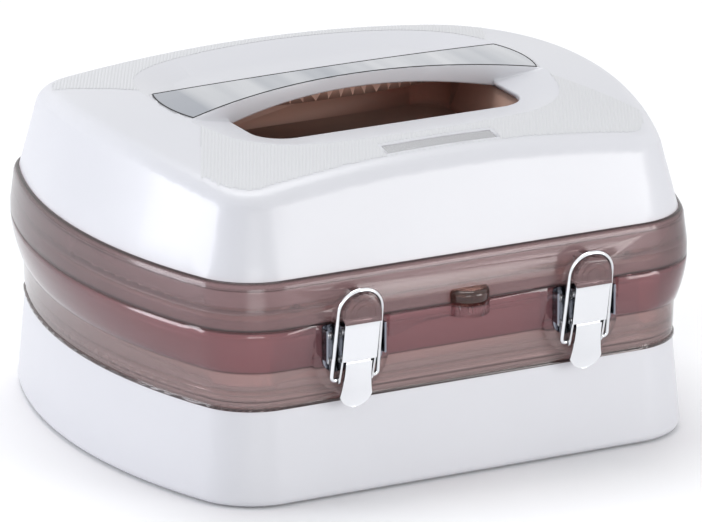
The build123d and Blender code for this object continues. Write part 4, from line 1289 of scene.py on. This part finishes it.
@dataclass
class Fasteners:
    """Rivets and screws, each kind repeated by geometry nodes, and the hinge pins.

    Attributes:
        shop: The workshop.
        rivet_radius: Radius of a rivet's head.
        rivet_head: Height of a rivet's head.
        rivet_shank: Radius and length of a rivet's shank.
        screw_radius: Radius of a screw's head.
        screw_head: Height of a screw's head.
        screw_shank: Radius and length of a screw's shank.
        screw_point: How much the screw's end tapers, in radius, and over what length.
        pin_edge: Rounding of the hinge pins' ends.
        rivet_sides: Points round a rivet.
        screw_sides: Points round a screw.
        dome_steps: Points up a rivet's head.
    """

    shop: Workshop
    rivet_radius: float = 2.0 * MM
    rivet_head: float = 0.9 * MM
    rivet_shank: tuple[float, float] = (1.2 * MM, 3.4 * MM)
    screw_radius: float = 3.0 * MM
    screw_head: float = 1.8 * MM
    screw_shank: tuple[float, float] = (1.5 * MM, 3.6 * MM)
    screw_point: tuple[float, float] = (0.2 * MM, 0.6 * MM)
    pin_edge: float = 0.2 * MM
    rivet_sides: int = 28
    screw_sides: int = 24
    dome_steps: int = 6

    def build(self) -> None:
        """Makes the rivets, screws and hinge pins."""
        group = self._group()
        rivet = linked("rivet_model", self._rivet())
        screw = linked("screw_model", self._screw())
        for side in SIDES:
            self._repeat(group, f"latch_rivets_{side}", rivet, self.rivet_head, Vector((0, -1, 0)))
        for node, way in (("band_screws", 1), ("cover_screws", -1), ("well_screws", -1), ("handle_screws", -1)):
            self._repeat(group, node, screw, self.screw_head, Vector((0, 0, way)))
        for side in SIDES:
            self.shop.carried(f"hinge_pin_{side}", "steel", self.pin_edge)
        for model in (rivet, screw):
            bpy.data.objects.remove(model)

    def _group(self) -> RepeatGroup:
        """Makes the group that sets one piece on every point of a mesh.

        Returns:
            The group, with inputs Piece, Turn and Material.
        """
        group = RepeatGroup("repeat_on_points")
        piece = group.add("ObjectInfo", {"Object": group.ask("Piece", "Object")}).outputs["Geometry"]
        group.close(group.copies(group.entry.outputs["Geometry"], piece, group.ask("Turn", "Rotation")))
        return group

    def _rivet(self) -> bpy.types.Mesh:
        """Makes a rivet that points down, its head above z = 0.

        Returns:
            The mesh.
        """
        radius, height = self.rivet_radius, self.rivet_head
        shank, length = self.rivet_shank
        dome = [(radius * math.cos(a), height * math.sin(a)) for a in quarter_turn(self.dome_steps)[1:-1]]
        foot = [(0.0, -length), (shank, -length), (shank, 0.0), (radius, 0.0)]
        return lathe([*foot, *dome, (0.0, height)], self.rivet_sides, "rivet")

    def _screw(self) -> bpy.types.Mesh:
        """Makes a pan-head screw that points down, its head above z = 0, with a sunk round socket.

        Returns:
            The mesh.
        """
        shank, length = self.screw_shank
        taper, point = self.screw_point
        foot = [(0.0, -length), (shank - taper, -length), (shank, point - length), (shank, 0.0)]
        shares = ((1.0, 0.0), (1.0, 0.25), (0.93, 0.7), (0.75, 1.0), (0.45, 1.0), (0.45, 0.45), (0.0, 0.4))
        head = [(across * self.screw_radius, up * self.screw_head) for across, up in shares]
        return lathe([*foot, *head], self.screw_sides, "screw")

    def _repeat(self, group: RepeatGroup, node: str, model: bpy.types.Object, head: float, way: Vector) -> None:
        """Sets a model on every solid of a CAD node.

        Args:
            group: The group that repeats.
            node: CAD node whose solids are the places.
            model: Piece that is repeated.
            head: Height of its head.
            way: Direction in which the heads face, square to X.
        """
        places = []
        for low, high in solid_boxes(node):
            half = (high - low).dot(way) / 2
            places.append(tuple((low + high) / 2 + way * (abs(half) - head)))
        mesh = bpy.data.meshes.new(node)
        mesh.from_pydata(places, [], [])
        obj = self.shop.piece(f"look_{node}", mesh, "steel")
        turn = (math.atan2(-way.y, way.z), 0.0, 0.0)
        group.run(self.shop, obj, "steel", {"Piece": model, "Turn": turn})
        smooth(obj.data)
        self.shop.hand_over(obj, body_of_node(node), "steel", node)


@dataclass(frozen=True)
class AreaLight:
    """One soft lamp.

    Attributes:
        name: Name of the lamp.
        place: Where it stands.
        size: Side of its square.
        power: Power in watts.
        color: Its colour.
    """

    name: str
    place: tuple[float, float, float]
    size: float
    power: float
    color: Color = (1.0, 1.0, 1.0)

    def build(self, target: Vector) -> bpy.types.Object:
        """Makes the lamp.

        Args:
            target: Point it looks at.

        Returns:
            The lamp.
        """
        data = bpy.data.lights.new(self.name, "AREA")
        data.shape = "SQUARE"
        data.size = self.size
        data.energy = self.power
        data.color = self.color
        obj = linked(self.name, data)
        obj.location = self.place
        obj.rotation_euler = (target - Vector(self.place)).to_track_quat("-Z", "Y").to_euler()
        return obj


LAMPS = (
    AreaLight("left", (-2.1, 0.75, 0.42), 1.1, 32, (0.94, 0.95, 1.0)),
    AreaLight("right front", (1.35, -1.95, 0.36), 1.1, 29, (1.0, 0.99, 0.98)),
    AreaLight("top", (0.1, 0.5, 2.3), 1.5, 32),
    AreaLight("low front", (-0.75, -1.9, 0.05), 0.8, 12),
)


@dataclass
class Studio:
    """White room, floor, lamps and camera.

    Attributes:
        azimuth: Turn of the camera to the left of the front, degrees.
        elevation: Its height over the floor, degrees.
        distance: Its distance from the target.
        focal_pixels: Focal length in pixels of the picture.
        image_width: Width of the picture in pixels.
        sensor: Width of the sensor, in the millimetres that the camera takes.
        target: Point in the case that the camera turns about.
        right_shift: How far right of the target it looks.
        down_shift: How far below the target it looks.
        lamp_target: Point that the lamps look at.
        sky: Colour of the room's light.
        sky_light: Strength of the room's light.
        floor_half: Half the width of the floor.
        floor_color: Colour of the floor.
        floor_roughness: Roughness of the floor.
        far: Distance up to which the camera sees.
    """

    azimuth: float = 27.42
    elevation: float = 17.36
    distance: float = 4.3
    focal_pixels: float = 7883.0
    image_width: float = 702.0
    sensor: float = 36.0
    target: tuple[float, float, float] = (0.0, 0.0, 0.12)
    right_shift: float = 2.83 * MM
    down_shift: float = 36.9 * MM
    lamp_target: tuple[float, float, float] = (0.0, 0.0, 0.09)
    sky: Color = (0.95, 0.97, 1.0)
    sky_light: float = 0.53
    floor_half: float = 6.0
    floor_color: Color = (0.93, 0.93, 0.94)
    floor_roughness: float = 0.9
    far: float = 50.0

    def build(self) -> None:
        """Makes the room, the lamps and the camera."""
        self._world()
        self._floor()
        for lamp in LAMPS:
            lamp.build(Vector(self.lamp_target))
        self._camera()

    def _world(self) -> None:
        """Makes a background that is white to the eye and softer as a light."""
        world = bpy.data.worlds.new("room")
        bpy.context.scene.world = world
        world.use_nodes = True
        world.node_tree.nodes.clear()
        nodes = Nodes(world.node_tree, "ShaderNode")
        seen = nodes.add("Background", {"Color": WHITE, "Strength": 1.0})
        light = nodes.add("Background", {"Color": (*self.sky, 1.0), "Strength": self.sky_light})
        rays = nodes.add("LightPath").outputs
        direct = rays["Is Camera Ray"]
        for name in ("Is Glossy Ray", "Is Transmission Ray"):
            direct = nodes.math("MAXIMUM", direct, rays[name])
        mix = nodes.add("MixShader", {"Fac": direct, 1: light.outputs[0], 2: seen.outputs[0]})
        nodes.add("OutputWorld", {"Surface": mix.outputs[0]})

    def _floor(self) -> None:
        """Makes the floor."""
        half = self.floor_half
        corners = [(-half, -half, 0), (half, -half, 0), (half, half, 0), (-half, half, 0)]
        mesh = mesh_from(corners, [(0, 1, 2, 3)], "floor")
        mat = bpy.data.materials.new("floor")
        mat.use_nodes = True
        skin = mat.node_tree.nodes["Principled BSDF"]
        skin.inputs["Base Color"].default_value = (*self.floor_color, 1.0)
        skin.inputs["Roughness"].default_value = self.floor_roughness
        mesh.materials.append(mat)
        linked("floor", mesh)

    def _camera(self) -> None:
        """Makes the camera at the photograph's angle."""
        a, e = math.radians(self.azimuth), math.radians(self.elevation)
        ahead = Vector((math.sin(a) * math.cos(e), math.cos(a) * math.cos(e), -math.sin(e)))
        right = Vector((math.cos(a), -math.sin(a), 0))
        up = right.cross(ahead)
        place = Vector(self.target) - ahead * self.distance
        aim = Vector(self.target) + right * self.right_shift - up * self.down_shift
        data = bpy.data.cameras.new("camera")
        data.sensor_width = self.sensor
        data.lens = self.focal_pixels / self.image_width * data.sensor_width
        data.clip_end = self.far
        camera = linked("camera", data)
        camera.location = place
        camera.rotation_euler = (aim - place).to_track_quat("-Z", "Y").to_euler()
        bpy.context.scene.camera = camera


def main() -> None:
    """Builds every sub-assembly and the studio."""
    logging.basicConfig(level=logging.INFO, format="%(message)s")
    bpy.context.scene.view_settings.view_transform = "Standard"
    shop = Workshop()
    CaseBase(shop).build()
    Lid(shop).build()
    for side in SIDES:
        Latch(shop, side).build()
    Fasteners(shop).build()
    Studio().build()


if __name__ == "__main__":
    main()
